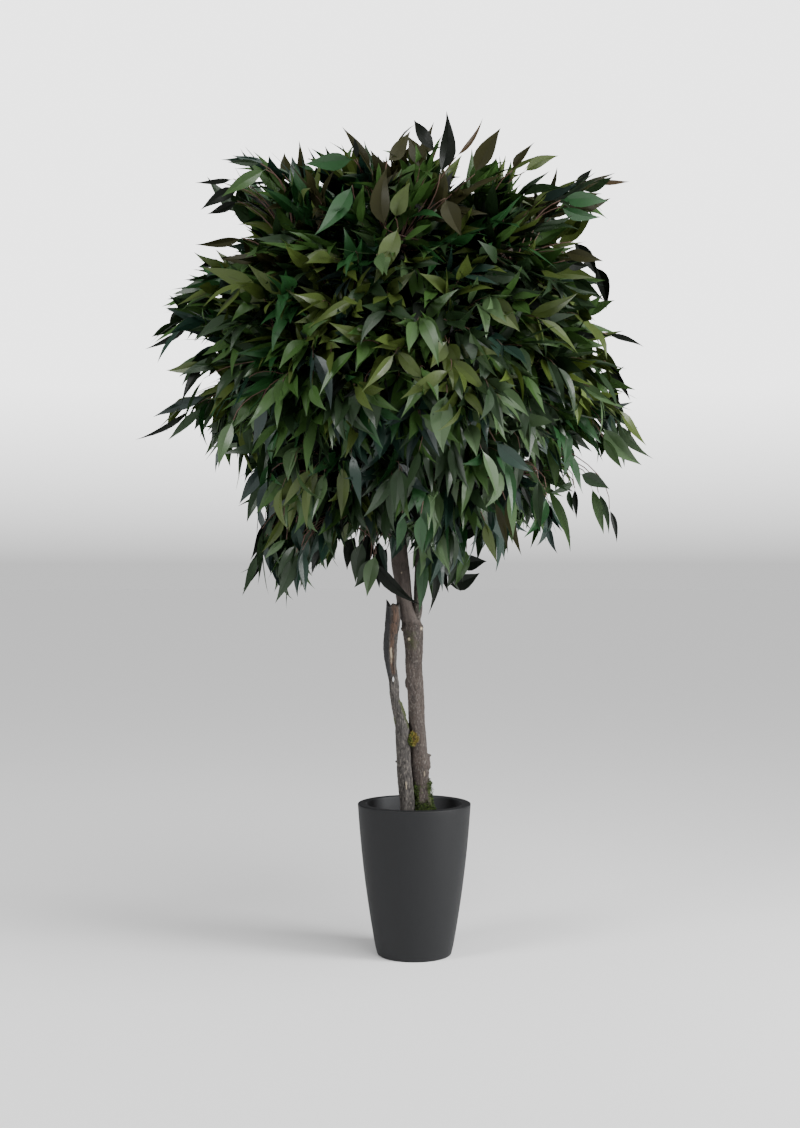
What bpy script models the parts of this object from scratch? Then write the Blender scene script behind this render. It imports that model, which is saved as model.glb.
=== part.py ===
"""A potted eucalyptus tree with a preserved crown: a tapered pot, two stems side by side and a dense crown.

Everything is at its real size, in metres with +Z up. The origin is the centre of the pot's flat underside,
and the tree's front is its -Y side. The leaves here are fewer and larger than the real ones."""
import bisect
import math
import random

import bmesh
import bpy
from mathutils import Vector
from mathutils.bvhtree import BVHTree

UP = Vector((0, 0, 1))
SEAT_GAP = 0.0003
SEED = 41

# Pot: a thick-walled tapered planter whose side bows out a little
POT_HEIGHT = 0.400
POT_RIM_RADIUS = 0.150
POT_FOOT_RADIUS = 0.0995
POT_BOW = 0.52
POT_WALL = 0.023
POT_FLOOR = 0.018
POT_ROUNDING = 0.006
POT_SIDES = 32
POT_RINGS = 5

# Filling: a plug cast round the stems' feet, below the rim
FILL_DEPTH = 0.048
FILL_TOP = POT_HEIGHT - FILL_DEPTH
FILL_SIDES = 24

# Stems, foot first: x, y, height and radius where the line or the girth changes
STEM_FOOT = FILL_TOP + SEAT_GAP
MAIN_STEM = (
    (0.030, 0.006, STEM_FOOT, 0.0290),
    (0.025, 0.006, 0.410, 0.0245),
    (0.019, 0.005, 0.510, 0.0230),
    (0.010, 0.004, 0.610, 0.0205),
    (0.002, 0.004, 0.705, 0.0215),
    (0.002, 0.003, 0.800, 0.0215),
    (-0.001, 0.002, 0.853, 0.0265),
    (-0.010, 0.002, 0.890, 0.0240),
    (-0.027, 0.003, 0.930, 0.0215),
    (-0.031, 0.004, 1.000, 0.0235),
    (-0.037, 0.004, 1.080, 0.0215),
    (-0.046, 0.000, 1.250, 0.0180),
    (-0.043, -0.006, 1.420, 0.0145),
    (-0.046, 0.000, 1.580, 0.0105),
)
LEFT_STEM = (
    (-0.018, -0.010, STEM_FOOT, 0.0215),
    (-0.018, -0.010, 0.400, 0.0185),
    (-0.025, -0.010, 0.508, 0.0185),
    (-0.032, -0.009, 0.593, 0.0180),
    (-0.042, -0.008, 0.660, 0.0165),
    (-0.051, -0.007, 0.705, 0.0135),
    (-0.056, -0.008, 0.754, 0.0130),
    (-0.060, -0.011, 0.803, 0.0155),
    (-0.060, -0.016, 0.852, 0.0175),
    (-0.058, -0.024, 0.895, 0.0150),
    (-0.052, -0.031, 0.938, 0.0060),
)
RIGHT_LIMB = (
    (-0.004, 0.002, 0.866, 0.0120),
    (0.018, 0.000, 0.905, 0.0115),
    (0.020, -0.002, 0.975, 0.0105),
    (0.026, -0.002, 1.060, 0.0095),
    (0.040, 0.000, 1.130, 0.0085),
)
RIGHT_LIMB_MASS = "skirt_3"
STEM_TOP = MAIN_STEM[-1][2]
STEM_SIDES = 10
LIMB_SIDES = 7
PATH_STEP = 0.042
BARK_LUMP = 0.045
BARK_WAVES = ((3, 21), (5, -34))

# Moss: a cushion at the main stem's foot and a tuft held between the two stems
MOSS_CUSHION = {"place": (0.047, -0.040, FILL_TOP + 0.017), "size": (0.034, 0.024, 0.052)}
MOSS_TUFT = {"place": (-0.003, -0.020, 0.572), "size": (0.014, 0.013, 0.019)}
MOSS_RAGGED = 0.10
MOSS_WAVES = (7, 5, 6)

# Crown outline: height, reach of the leaf tips to the right and to the left of the crown's axis
CROWN_AXIS_X = -0.045
CROWN_HEART = Vector((CROWN_AXIS_X, 0, 1.52))
CROWN_OUTLINE = (
    (0.90, 0.10, 0.36),
    (1.05, 0.36, 0.41),
    (1.18, 0.55, 0.44),
    (1.38, 0.655, 0.62),
    (1.60, 0.625, 0.655),
    (1.78, 0.57, 0.58),
    (2.00, 0.555, 0.525),
    (2.10, 0.47, 0.46),
    (2.19, 0.17, 0.14),
    (2.23, 0.05, 0.05),
)
# Underside of the crown along X: it hangs lowest at the left and round the stems, with a clear arch between
CROWN_UNDERSIDE = (
    (-0.45, 0.95),
    (-0.24, 0.94),
    (-0.205, 1.06),
    (-0.10, 1.06),
    (-0.075, 0.94),
    (0.09, 0.91),
    (0.17, 0.98),
    (0.24, 1.05),
    (0.60, 1.08),
)
EDGE_SEARCH_START = 0.15
EDGE_SEARCH_STEP = 0.005
# Slope of the foliage in degrees: at the crown's top, its loss for each degree from the top, and the steepest
FALL_AT_TOP = 72
FALL_RATE = 1.30
FALL_STEEPEST = -84

# Masses in rings round the crown's heart: how many, the first one's bearing and their elevation in degrees,
# how far the core reaches, and where on its stem the first bough starts and the rise to the next
MASS_RINGS = {
    "shoulder": {"count": 6, "bearing": 270, "elevation": 43, "core": 0.30, "from": 1.475, "rise": 0.014},
    "flank": {"count": 7, "bearing": 285, "elevation": 2, "core": 0.30, "from": 1.26, "rise": 0.022},
    "skirt": {"count": 6, "bearing": 240, "elevation": -46, "core": 0.125, "from": 1.085, "rise": 0.020},
}
TOP_CORE = 0.20
SITE_SHARE = 0.62
CELL_MARGIN = 0.004
BOUGH_RADIUS = 0.0085
BOUGH_TIP_RADIUS = 0.0058
BOUGH_TO_CORE = 0.026
BOUGH_LIFT = 0.045
BOUGH_SIDES = 5
BOUGH_STATIONS = 5
BOUGH_BELOW_TIP = 0.035
MASS_STEM_SIDES = 4
MASS_STEM_STATIONS = 3

# Cores: pieces of an inner shell of the crown, between two shares of its outline
CORE_INNER_SHARE = 0.56
CORE_OUTER_SHARE = 0.68
CORE_RAGGED = 0.05
CORE_SHRINK = 0.93
CORE_FROM_AXIS = 0.07

# Twigs end evenly just inside the crown's outline, and leaves stand on them and on the cores
OUTER_TWIGS = 122
CORE_LEAVES = 250
TWIG_SIDES = 3
TWIG_RADIUS = 0.0046
TWIG_TIP_RADIUS = 0.0032
TWIG_SUNK = 0.010
LEAVES_PER_TWIG = 4
LEAF_SPACING = 0.030
LEAF_SPLAY = 0.70
LEAF_LENGTH = 0.200
LEAF_WIDTH = 0.060
LEAF_THICKNESS = 0.0030
LEAF_WIDEST = 0.40
LEAF_THICKEST = 0.18
LEAF_FOLD = 0.25
LEAF_ROOT_SUNK = 0.006
TIP_LEAF_SHARE = 0.78
FALL_WEIGHT = 0.62
CORE_LEAF_RISE = 0.45
LEAF_TRIES = 14
LEAF_WANDER = (0.20, 0.70)
LEAF_ROLL = 0.6
LEAF_SIZES = (0.90, 1.12)
LEAF_SHRINK = 0.30
LEAF_SICKLE = 0.08
OUTLINE_STRETCH = (0.98, 1.04)
LIMB_CLEARANCE = 0.004
GOLDEN_TURN = math.pi * (3 - math.sqrt(5))

MATERIALS = {
    "pot_plastic": ((0.040, 0.042, 0.046), 0.62),
    "fill_soil": ((0.060, 0.045, 0.032), 0.95),
    "bark": ((0.125, 0.100, 0.085), 0.85),
    "moss": ((0.090, 0.115, 0.020), 0.95),
    "foliage": ((0.035, 0.075, 0.025), 0.50),
}


# Scene and mesh helpers
def clear_scene():
    """Take every object out of the open file."""
    for old in list(bpy.data.objects):
        bpy.data.objects.remove(old)


def material(name):
    """The named finish, made once."""
    if name in bpy.data.materials:
        return bpy.data.materials[name]
    colour, roughness = MATERIALS[name]
    made = bpy.data.materials.new(name)
    made.use_nodes = True
    shader = made.node_tree.nodes["Principled BSDF"]
    shader.inputs["Base Color"].default_value = (*colour, 1)
    shader.inputs["Roughness"].default_value = roughness
    shader.inputs["Metallic"].default_value = 0
    return made


def add_object(name, shape, finish, smooth=True):
    """Turn a bmesh into a named object with its finish."""
    bmesh.ops.recalc_face_normals(shape, faces=shape.faces)
    mesh = bpy.data.meshes.new(name)
    shape.to_mesh(mesh)
    shape.free()
    mesh.materials.append(material(finish))
    if smooth:
        mesh.shade_smooth()
        mesh.set_sharp_from_angle(angle=math.radians(40))
    made = bpy.data.objects.new(name, mesh)
    bpy.context.scene.collection.objects.link(made)
    return made


def add_ring(shape, centre, side, other, radii):
    """Add one closed ring of corners, one radius for each corner."""
    corners = []
    for index, radius in enumerate(radii):
        angle = math.tau * index / len(radii)
        offset = side * (math.cos(angle) * radius) + other * (math.sin(angle) * radius)
        corners.append(shape.verts.new(centre + offset))
    return corners


def join_rings(shape, rings):
    """Skin a row of rings and close both of its ends."""
    for lower, upper in zip(rings, rings[1:]):
        for index in range(len(lower)):
            after = (index + 1) % len(lower)
            shape.faces.new((lower[index], lower[after], upper[after]))
            shape.faces.new((lower[index], upper[after], upper[index]))
    shape.faces.new(list(reversed(rings[0])))
    shape.faces.new(rings[-1])


def tube(centres, radii, sides, lump=0.0, foot_way=None):
    """A tapering tube along a path, with an uneven girth where lump is given and its foot square to foot_way."""
    shape = bmesh.new()
    rings = []
    side = Vector((1, 0, 0))
    for index, centre in enumerate(centres):
        before = centres[max(index - 1, 0)]
        after = centres[min(index + 1, len(centres) - 1)]
        along = (after - before).normalized()
        if foot_way and index == 0:
            along = foot_way
        side = side - along * side.dot(along)
        if side.length < 0.1:
            side = along.orthogonal()
        side.normalize()
        girth = []
        for corner in range(sides):
            angle = math.tau * corner / sides
            wave = sum(math.sin(turns * angle + climb * centre.z) for turns, climb in BARK_WAVES)
            girth.append(radii[index] * (1 + lump * wave))
        rings.append(add_ring(shape, centre, side, along.cross(side), girth))
    join_rings(shape, rings)
    return shape


def turned(profile, sides):
    """A closed round body from its half section, which starts and ends near the axis."""
    shape = bmesh.new()
    rings = []
    for radius, height in profile:
        centre = Vector((0, 0, height))
        rings.append(add_ring(shape, centre, Vector((1, 0, 0)), Vector((0, 1, 0)), [radius] * sides))
    join_rings(shape, rings)
    return shape


def smooth_path(stations, step=PATH_STEP):
    """Points and radii along a smooth curve through the stations."""
    centres = []
    radii = []
    count = len(stations)
    for index in range(count - 1):
        around = [Vector(stations[min(max(index + shift, 0), count - 1)]) for shift in (-1, 0, 1, 2)]
        span = (around[2] - around[1]).length
        pieces = max(1, round(span / step))
        for piece in range(pieces):
            share = piece / pieces
            point = curve_point(around, share)
            centres.append(point.xyz)
            radii.append(point.w)
    centres.append(Vector(stations[-1][:3]))
    radii.append(stations[-1][3])
    return centres, radii


def curve_point(around, share):
    """A point on the smooth curve between the middle two of four stations."""
    before, start, end, after = around
    pull_out = (end - before) / 2
    pull_in = (after - start) / 2
    square = share * share
    cube = square * share
    return (
        start * (2 * cube - 3 * square + 1)
        + pull_out * (cube - 2 * square + share)
        + end * (3 * square - 2 * cube)
        + pull_in * (cube - square)
    )


def arch_points(start, end, lift, stations):
    """Points along an arch from start to end that rises by a share of its length."""
    top = (start + end) / 2 + UP * lift * (end - start).length
    points = []
    for index in range(stations):
        share = index / (stations - 1)
        points.append(start * (1 - share) ** 2 + top * (2 * share * (1 - share)) + end * share**2)
    return points


def taper(first, last, count):
    """Radii that fall evenly from first to last."""
    return [first + (last - first) * index / (count - 1) for index in range(count)]


def apply_modifiers(target):
    """Keep what the modifiers make of an object as its own mesh."""
    bpy.context.view_layer.update()
    seen = target.evaluated_get(bpy.context.evaluated_depsgraph_get())
    finished = bpy.data.meshes.new_from_object(seen)
    target.modifiers.clear()
    target.data = finished


def keep_one_body(target):
    """Drop loose scraps and fill sealed hollows: only the largest closed surface stays."""
    shape = bmesh.new()
    shape.from_mesh(target.data)
    waiting = set(shape.faces)
    islands = []
    while waiting:
        reached = {waiting.pop()}
        edge_of_island = list(reached)
        while edge_of_island:
            face = edge_of_island.pop()
            for edge in face.edges:
                for neighbour in edge.link_faces:
                    if neighbour in waiting:
                        waiting.remove(neighbour)
                        reached.add(neighbour)
                        edge_of_island.append(neighbour)
        islands.append(reached)
    islands.sort(key=lambda island: sum(face.calc_area() for face in island))
    for island in islands[:-1]:
        bmesh.ops.delete(shape, geom=list(island), context="FACES")
    loose = [corner for corner in shape.verts if not corner.link_faces]
    bmesh.ops.delete(shape, geom=loose, context="VERTS")
    shape.to_mesh(target.data)
    shape.free()


def guard(*shapes):
    """A search tree over bmesh shapes, to find what touches them."""
    corners = []
    faces = []
    for shape in shapes:
        shape.verts.index_update()
        first = len(corners)
        corners += [corner.co.copy() for corner in shape.verts]
        faces += [[first + corner.index for corner in face.verts] for face in shape.faces]
    return BVHTree.FromPolygons(corners, faces)


# Pot and filling
def pot_radius(height):
    """Outer radius of the pot at a height."""
    share = height / POT_HEIGHT
    return POT_FOOT_RADIUS + (POT_RIM_RADIUS - POT_FOOT_RADIUS) * (share + POT_BOW * share * (1 - share))


def inner_radius(height):
    """Radius of the pot's inner wall at a height."""
    return pot_radius(height) - POT_WALL


def rounded_corner(radius, height, first_degrees, size, steps=2):
    """Points of a quarter round, given its centre and where it starts."""
    points = []
    for index in range(steps + 1):
        angle = math.radians(first_degrees + 90 * index / steps)
        points.append((radius + size * math.cos(angle), height + size * math.sin(angle)))
    return points


def build_pot():
    """The planter, with a flat underside, a rounded rim and an open inside."""
    rounding = POT_ROUNDING
    profile = rounded_corner(POT_FOOT_RADIUS - rounding, rounding, -90, rounding)
    for index in range(1, POT_RINGS):
        height = POT_HEIGHT * index / POT_RINGS
        profile.append((pot_radius(height), height))
    rim_edge = rounding / 2
    profile += rounded_corner(POT_RIM_RADIUS - rim_edge, POT_HEIGHT - rim_edge, 0, rim_edge)
    inside = POT_RIM_RADIUS - POT_WALL
    profile += rounded_corner(inside + rim_edge, POT_HEIGHT - rim_edge, 90, rim_edge)
    for height in (FILL_TOP, POT_HEIGHT / 2, POT_FLOOR):
        profile.append((inner_radius(height), height))
    add_object("pot", turned(profile, POT_SIDES), "pot_plastic")


def build_filling():
    """The cast plug that fills the pot up to the stems' feet."""
    heights = (POT_FLOOR + SEAT_GAP, POT_HEIGHT / 2, FILL_TOP)
    share_kept = math.cos(math.pi / POT_SIDES)
    profile = [(inner_radius(height) * share_kept - 2 * SEAT_GAP, height) for height in heights]
    add_object("filling", turned(profile, FILL_SIDES), "fill_soil")


# Stems
def stem_shape(stations, sides, swell=0.0):
    """A stem or limb through its stations, thicker all round by swell."""
    centres, radii = smooth_path(stations)
    return tube(centres, [radius + swell for radius in radii], sides, BARK_LUMP, foot_way=UP)


def cut_clear(target, stations, sides):
    """Cut an object back from a stem, leaving the seat gap."""
    cutter = add_object("cutter", stem_shape(stations, sides, SEAT_GAP), "bark")
    cut = target.modifiers.new("clear_of_stem", "BOOLEAN")
    cut.operation = "DIFFERENCE"
    cut.object = cutter
    apply_modifiers(target)
    bpy.data.objects.remove(cutter)
    keep_one_body(target)


def build_stems():
    """The main stem, the left stem and the slim limb from the fork."""
    add_object("stem_main", stem_shape(MAIN_STEM, STEM_SIDES), "bark")
    left = add_object("stem_left", stem_shape(LEFT_STEM, STEM_SIDES), "bark")
    cut_clear(left, MAIN_STEM, STEM_SIDES)
    limb = add_object("limb_right", stem_shape(RIGHT_LIMB, LIMB_SIDES), "bark")
    cut_clear(limb, MAIN_STEM, STEM_SIDES)


def build_moss():
    """Two ragged lumps of moss, cut clear of the stems that hold them."""
    for name, moss in (("moss_cushion", MOSS_CUSHION), ("moss_tuft", MOSS_TUFT)):
        shape = bmesh.new()
        bmesh.ops.create_icosphere(shape, subdivisions=2, radius=1)
        place = Vector(moss["place"])
        lowest = FILL_TOP + SEAT_GAP
        for corner in shape.verts:
            spot = corner.co.copy()
            wave = math.sin(MOSS_WAVES[0] * spot.x + MOSS_WAVES[1] * spot.y) * math.cos(MOSS_WAVES[2] * spot.z)
            ragged = 1 + MOSS_RAGGED * wave
            corner.co = place + Vector(spot[axis] * moss["size"][axis] * ragged for axis in range(3))
        everything = shape.verts[:] + shape.edges[:] + shape.faces[:]
        bmesh.ops.bisect_plane(shape, geom=everything, plane_co=(0, 0, lowest), plane_no=UP, clear_inner=True)
        bmesh.ops.holes_fill(shape, edges=shape.edges)
        lump = add_object(name, shape, "moss")
        cut_clear(lump, MAIN_STEM, STEM_SIDES)
        cut_clear(lump, LEFT_STEM, STEM_SIDES)


# Crown outline
def between(table, place, column):
    """Read a column of an outline table at a place between its rows."""
    keys = [row[0] for row in table]
    upper = min(max(bisect.bisect(keys, place), 1), len(table) - 1)
    low, high = table[upper - 1], table[upper]
    share = min(max((place - low[0]) / (high[0] - low[0]), 0), 1)
    return low[column] + (high[column] - low[column]) * share


def crown_reach(bearing, height):
    """How far the leaf tips stand from the crown's axis, towards a bearing at a height."""
    left = (1 - math.cos(bearing)) / 2
    return between(CROWN_OUTLINE, height, 1) * (1 - left) + between(CROWN_OUTLINE, height, 2) * left


def in_crown(point, stretch=1.0):
    """Whether a point lies inside the crown's outline, stretched a little."""
    across = Vector((point.x - CROWN_AXIS_X, point.y))
    bearing = math.atan2(across.y, across.x)
    if not CROWN_OUTLINE[0][0] < point.z < CROWN_OUTLINE[-1][0]:
        return False
    if point.z < between(CROWN_UNDERSIDE, point.x, 1) + (1 - stretch) / 2:
        return False
    return across.length < crown_reach(bearing, point.z) * stretch


def crown_edge(direction):
    """The point where a ray from the crown's heart leaves the outline."""
    reach = EDGE_SEARCH_START
    while in_crown(CROWN_HEART + direction * (reach + EDGE_SEARCH_STEP)):
        reach += EDGE_SEARCH_STEP
    return CROWN_HEART + direction * reach


def fall(point):
    """The way foliage points at a place: up at the top, outward at the shoulders and down at the skirt."""
    from_heart = point - CROWN_HEART
    outward = Vector((from_heart.x, from_heart.y, 0))
    from_top = math.degrees(from_heart.angle(UP))
    slope = math.radians(max(FALL_AT_TOP - FALL_RATE * from_top, FALL_STEEPEST))
    return outward.normalized() * math.cos(slope) + UP * math.sin(slope)


def even_directions(count):
    """Directions spread evenly over a sphere."""
    directions = []
    for index in range(count):
        height = 1 - (2 * index + 1) / count
        across = math.sqrt(1 - height * height)
        turn = GOLDEN_TURN * index
        directions.append(Vector((across * math.cos(turn), across * math.sin(turn), height)))
    return directions


def in_share(point, share):
    """Whether a point lies inside the outline once that is shrunk round the crown's heart."""
    return in_crown(CROWN_HEART + (point - CROWN_HEART) / share)


def mass_sites():
    """The name, middle, core reach and bough height of each foliage mass."""
    top_edge = crown_edge(UP)
    sites = [("crown_top", CROWN_HEART.lerp(top_edge, SITE_SHARE), TOP_CORE, None)]
    for ring_name, ring in MASS_RINGS.items():
        elevation = math.radians(ring["elevation"])
        for index in range(ring["count"]):
            bearing = math.radians(ring["bearing"]) + math.tau * index / ring["count"]
            flat = Vector((math.cos(bearing), math.sin(bearing), 0))
            edge = crown_edge(flat * math.cos(elevation) + UP * math.sin(elevation))
            order = index * 2 % ring["count"] + (index * 2 // ring["count"]) % 2 * 0.5
            leaves_at = ring["from"] + ring["rise"] * order
            site = CROWN_HEART.lerp(edge, SITE_SHARE)
            sites.append((f"{ring_name}_{index + 1}", site, ring["core"], leaves_at))
    return sites


# Boughs and foliage masses
def stem_centre(stations, height):
    """A stem's centre line at a height."""
    line = [(up, across, deep) for across, deep, up, _ in stations]
    return Vector((between(line, height, 1), between(line, height, 2), height))


def bough_path(name, space, leaves_at):
    """Where a mass's bough runs, up to just before its core, and which stem carries it."""
    site = space.site
    carrier = RIGHT_LIMB if name == RIGHT_LIMB_MASS else MAIN_STEM
    start = stem_centre(carrier, min(leaves_at, carrier[-1][2] - BOUGH_BELOW_TIP))
    back = (start - site).normalized()
    end = site + back * (space.core_reach(back) * (1 + CORE_RAGGED) + BOUGH_TO_CORE)
    return arch_points(start, end, BOUGH_LIFT, BOUGH_STATIONS), carrier


def build_bough(name, points, carrier):
    """One tapering bough, cut clear of the stem that carries it."""
    shape = tube(points, taper(BOUGH_RADIUS, BOUGH_TIP_RADIUS, len(points)), BOUGH_SIDES)
    bough = add_object(name, shape, "bark")
    cut_clear(bough, carrier, STEM_SIDES if carrier is MAIN_STEM else LIMB_SIDES)


def leaf_shape(node, twig_way, axis, facing, size=1.0, bend=0.0):
    """A pointed leaf of eight faces whose root lies inside its twig."""
    length = LEAF_LENGTH * size
    side = axis.cross(facing).normalized()
    face = side.cross(axis).normalized()
    wide = LEAF_WIDTH * size / 2
    droop = face * wide * LEAF_FOLD
    middle = node + axis * length * LEAF_WIDEST
    spine = node + axis * length * LEAF_THICKEST
    shape = bmesh.new()
    root = shape.verts.new(node - twig_way * LEAF_ROOT_SUNK)
    tip = shape.verts.new(node + axis * length + side * length * bend - droop)
    sides = [shape.verts.new(middle + side * wide - droop), shape.verts.new(middle - side * wide - droop)]
    thick = face * LEAF_THICKNESS / 2
    faces = [shape.verts.new(spine + thick), shape.verts.new(spine - thick)]
    for edge in sides:
        for skin in faces:
            shape.faces.new((root, edge, skin))
            shape.faces.new((edge, tip, skin))
    bmesh.ops.recalc_face_normals(shape, faces=shape.faces)
    return shape


class MassSpace:
    """The space that one foliage mass keeps to, and what already grows in it."""

    def __init__(self, site, core, others):
        self.site = site
        self.core = core
        self.others = others
        self.limbs = None
        self.taken = []

    def holds(self, point, stretch=1.0):
        """Whether a point is nearer to this mass's middle than to any other, and inside the outline."""
        if not in_crown(point, stretch):
            return False
        own = (point - self.site).length_squared
        for other in self.others:
            border = 2 * (other - self.site).length * CELL_MARGIN
            if own + border > (point - other).length_squared:
                return False
        return True

    def core_reach(self, way):
        """How far the core goes from the mass's middle in a direction, inside its cell and the inner shell."""
        reach = self.core
        point = self.site + way * reach
        while not (self.holds(point) and in_share(point, CORE_OUTER_SHARE)) or in_share(point, CORE_INNER_SHARE):
            reach *= CORE_SHRINK
            point = self.site + way * reach
            if reach < BOUGH_TIP_RADIUS:
                break
        return reach

    def fits(self, shape, stretch=1.0):
        """Whether a shape stays in the space and clear of every limb."""
        if not all(self.holds(corner.co, stretch) for corner in shape.verts):
            return False
        return not guard(shape).overlap(self.limbs)


def core_shape(space, chance):
    """The dense middle of a mass: a ragged piece of the crown's inner shell."""
    shape = bmesh.new()
    bmesh.ops.create_icosphere(shape, subdivisions=2, radius=1)
    for corner in shape.verts:
        way = corner.co.normalized()
        reach = space.core_reach(way) * chance.uniform(1 - CORE_RAGGED, 1)
        point = space.site + way * reach
        across = Vector((point.x - CROWN_AXIS_X, point.y, 0))
        if across.length < CORE_FROM_AXIS and space.site.z < STEM_TOP:
            point += across.normalized() * (CORE_FROM_AXIS - across.length)
        corner.co = point
    return shape


def twig_ends():
    """Where the twigs end, spread evenly just inside the crown's outline."""
    ends = []
    for direction in even_directions(OUTER_TWIGS):
        edge = crown_edge(direction)
        ends.append(edge - fall(edge) * LEAF_LENGTH * TIP_LEAF_SHARE)
    return ends


def mass_stem(site, bough_points):
    """The mass's own stem, which goes on from its bough's tip into the mass's middle."""
    tip = bough_points[-1]
    along = (tip - bough_points[-2]).normalized()
    start = tip + along * SEAT_GAP
    bend = start + along * (site - start).length / 2
    points = []
    for index in range(MASS_STEM_STATIONS):
        share = index / (MASS_STEM_STATIONS - 1)
        points.append(start * (1 - share) ** 2 + bend * (2 * share * (1 - share)) + site * share**2)
    return points, along


def grow_twigs(ends, core, space):
    """Short twigs that leave the nearest place on the core for their ends."""
    twigs = []
    core_tree = guard(core)
    for end in ends:
        surface, normal, _, distance = core_tree.find_nearest(end)
        root = surface - normal * TWIG_SUNK
        shape = tube([root, end], [TWIG_RADIUS, TWIG_TIP_RADIUS], TWIG_SIDES)
        if distance > LEAF_SPACING / 2 and space.fits(shape):
            twigs.append(((root, end), shape))
        else:
            shape.free()
    return twigs


def try_leaf(space, node, twig_way, splay, rise, barred, chance):
    """A leaf at a node that fits its space and crosses nothing, or None after a few tries."""
    outward = (node - CROWN_HEART).normalized()
    aim = (fall(node) * FALL_WEIGHT + twig_way * (1 - FALL_WEIGHT) + outward * rise).normalized()
    aside = aim.cross(outward).normalized()
    for attempt in range(LEAF_TRIES):
        ease = attempt / LEAF_TRIES
        loose = LEAF_WANDER[0] + (LEAF_WANDER[1] - LEAF_WANDER[0]) * ease
        wander = Vector(chance.uniform(-loose, loose) for _ in range(3))
        axis = (aim + aside * splay + wander).normalized()
        facing = outward + Vector(chance.uniform(-LEAF_ROLL, LEAF_ROLL) for _ in range(3))
        size = chance.uniform(*LEAF_SIZES) * (1 - LEAF_SHRINK * ease)
        leaf = leaf_shape(node, twig_way, axis, facing, size, chance.uniform(-LEAF_SICKLE, LEAF_SICKLE))
        tree = guard(leaf)
        crossed = any(tree.overlap(other) for other in space.taken + barred)
        if not crossed and space.fits(leaf, chance.uniform(*OUTLINE_STRETCH)):
            space.taken.append(tree)
            return leaf
        leaf.free()
    return None


def grow_leaves(twigs, core, core_ways, space, chance):
    """Leaves at the end of each twig and in turn on both sides of it, then some on the core itself."""
    leaves = []
    trees = [guard(shape) for _, shape in twigs]
    core_tree = guard(core)
    for number, ((root, end), _) in enumerate(twigs):
        barred = [core_tree] + trees[:number] + trees[number + 1:]
        twig_way = (end - root).normalized()
        for place in range(LEAVES_PER_TWIG):
            node = end - twig_way * LEAF_SPACING * place
            if (node - root).dot(twig_way) > TWIG_SUNK + LEAF_SPACING / 2:
                splay = (0, LEAF_SPLAY, -LEAF_SPLAY)[0 if place == 0 else 1 + place % 2]
                leaves.append(try_leaf(space, node, twig_way, splay, 0, barred, chance))
    for way in core_ways:
        surface, normal, _, _ = core_tree.ray_cast(crown_edge(way), -way)
        if surface:
            node = surface - normal * LEAF_ROOT_SUNK
            leaves.append(try_leaf(space, node, normal, 0, CORE_LEAF_RISE, trees, chance))
    return [leaf for leaf in leaves if leaf]


def build_mass(name, space, bough_points, ends, core_ways, chance):
    """One foliage mass: a stem, a core, twigs and their leaves, fused into one solid."""
    points, along = mass_stem(space.site, bough_points)
    stem = tube(points, taper(BOUGH_TIP_RADIUS, TWIG_RADIUS, len(points)), MASS_STEM_SIDES, foot_way=along)
    core = core_shape(space, chance)
    twigs = grow_twigs(ends, core, space)
    space.taken.append(guard(stem))
    leaves = grow_leaves(twigs, core, core_ways, space, chance)
    parts = bpy.data.collections.new(name + "_parts")
    bpy.context.scene.collection.children.link(parts)
    for shape in [core] + [shape for _, shape in twigs] + leaves:
        piece = add_object("piece", shape, "foliage", smooth=False)
        bpy.context.scene.collection.objects.unlink(piece)
        parts.objects.link(piece)
    mass = add_object(name, stem, "foliage", smooth=False)
    join = mass.modifiers.new("join_leaves", "BOOLEAN")
    join.operation = "UNION"
    join.operand_type = "COLLECTION"
    join.collection = parts
    apply_modifiers(mass)
    for piece in list(parts.objects):
        bpy.data.objects.remove(piece)
    bpy.data.collections.remove(parts)
    keep_one_body(mass)


def nearest_site(sites, point):
    """The name of the mass whose middle is nearest to a point."""
    return min(sites, key=lambda entry: (entry[1] - point).length)[0]


def build_crown():
    """All boughs first, then the masses that keep clear of them."""
    chance = random.Random(SEED)
    sites = mass_sites()
    spaces = {}
    for name, site, core, _ in sites:
        others = [entry[1] for entry in sites if entry[0] != name]
        spaces[name] = MassSpace(site, core, others)
    paths = {"crown_top": smooth_path(MAIN_STEM)[0]}
    swell = LIMB_CLEARANCE
    solids = [stem_shape(MAIN_STEM, STEM_SIDES, swell), stem_shape(LEFT_STEM, STEM_SIDES, swell),
              stem_shape(RIGHT_LIMB, LIMB_SIDES, swell)]
    for name, _, _, leaves_at in sites[1:]:
        points, carrier = bough_path(name, spaces[name], leaves_at)
        paths[name] = points
        build_bough("bough_" + name, points, carrier)
        radii = [radius + swell for radius in taper(BOUGH_RADIUS, BOUGH_TIP_RADIUS, len(points))]
        solids.append(tube(points, radii, BOUGH_SIDES))
    limbs = guard(*solids)
    ends = {name: [] for name in spaces}
    for end in twig_ends():
        ends[nearest_site(sites, end)].append(end)
    core_ways = {name: [] for name in spaces}
    for way in even_directions(CORE_LEAVES):
        middle = CROWN_HEART.lerp(crown_edge(way), CORE_OUTER_SHARE)
        core_ways[nearest_site(sites, middle)].append(way)
    for name, space in spaces.items():
        space.limbs = limbs
        build_mass(name, space, paths[name], ends[name], core_ways[name], chance)


def main():
    """Build the whole tree."""
    clear_scene()
    build_pot()
    build_filling()
    build_stems()
    build_moss()
    build_crown()


main()
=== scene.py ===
"""Looks of the potted eucalyptus tree: pot, filling, bark, moss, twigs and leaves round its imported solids.

Laid out as an add-on and run as a script. Lengths are metres in the solids' own frame: +Z is up and the
front is -Y. The crown's outline and the growth rule are those of the solids' source, and the stems keep
close to its lines."""
import bisect
import math
import random
from collections import namedtuple

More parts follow.
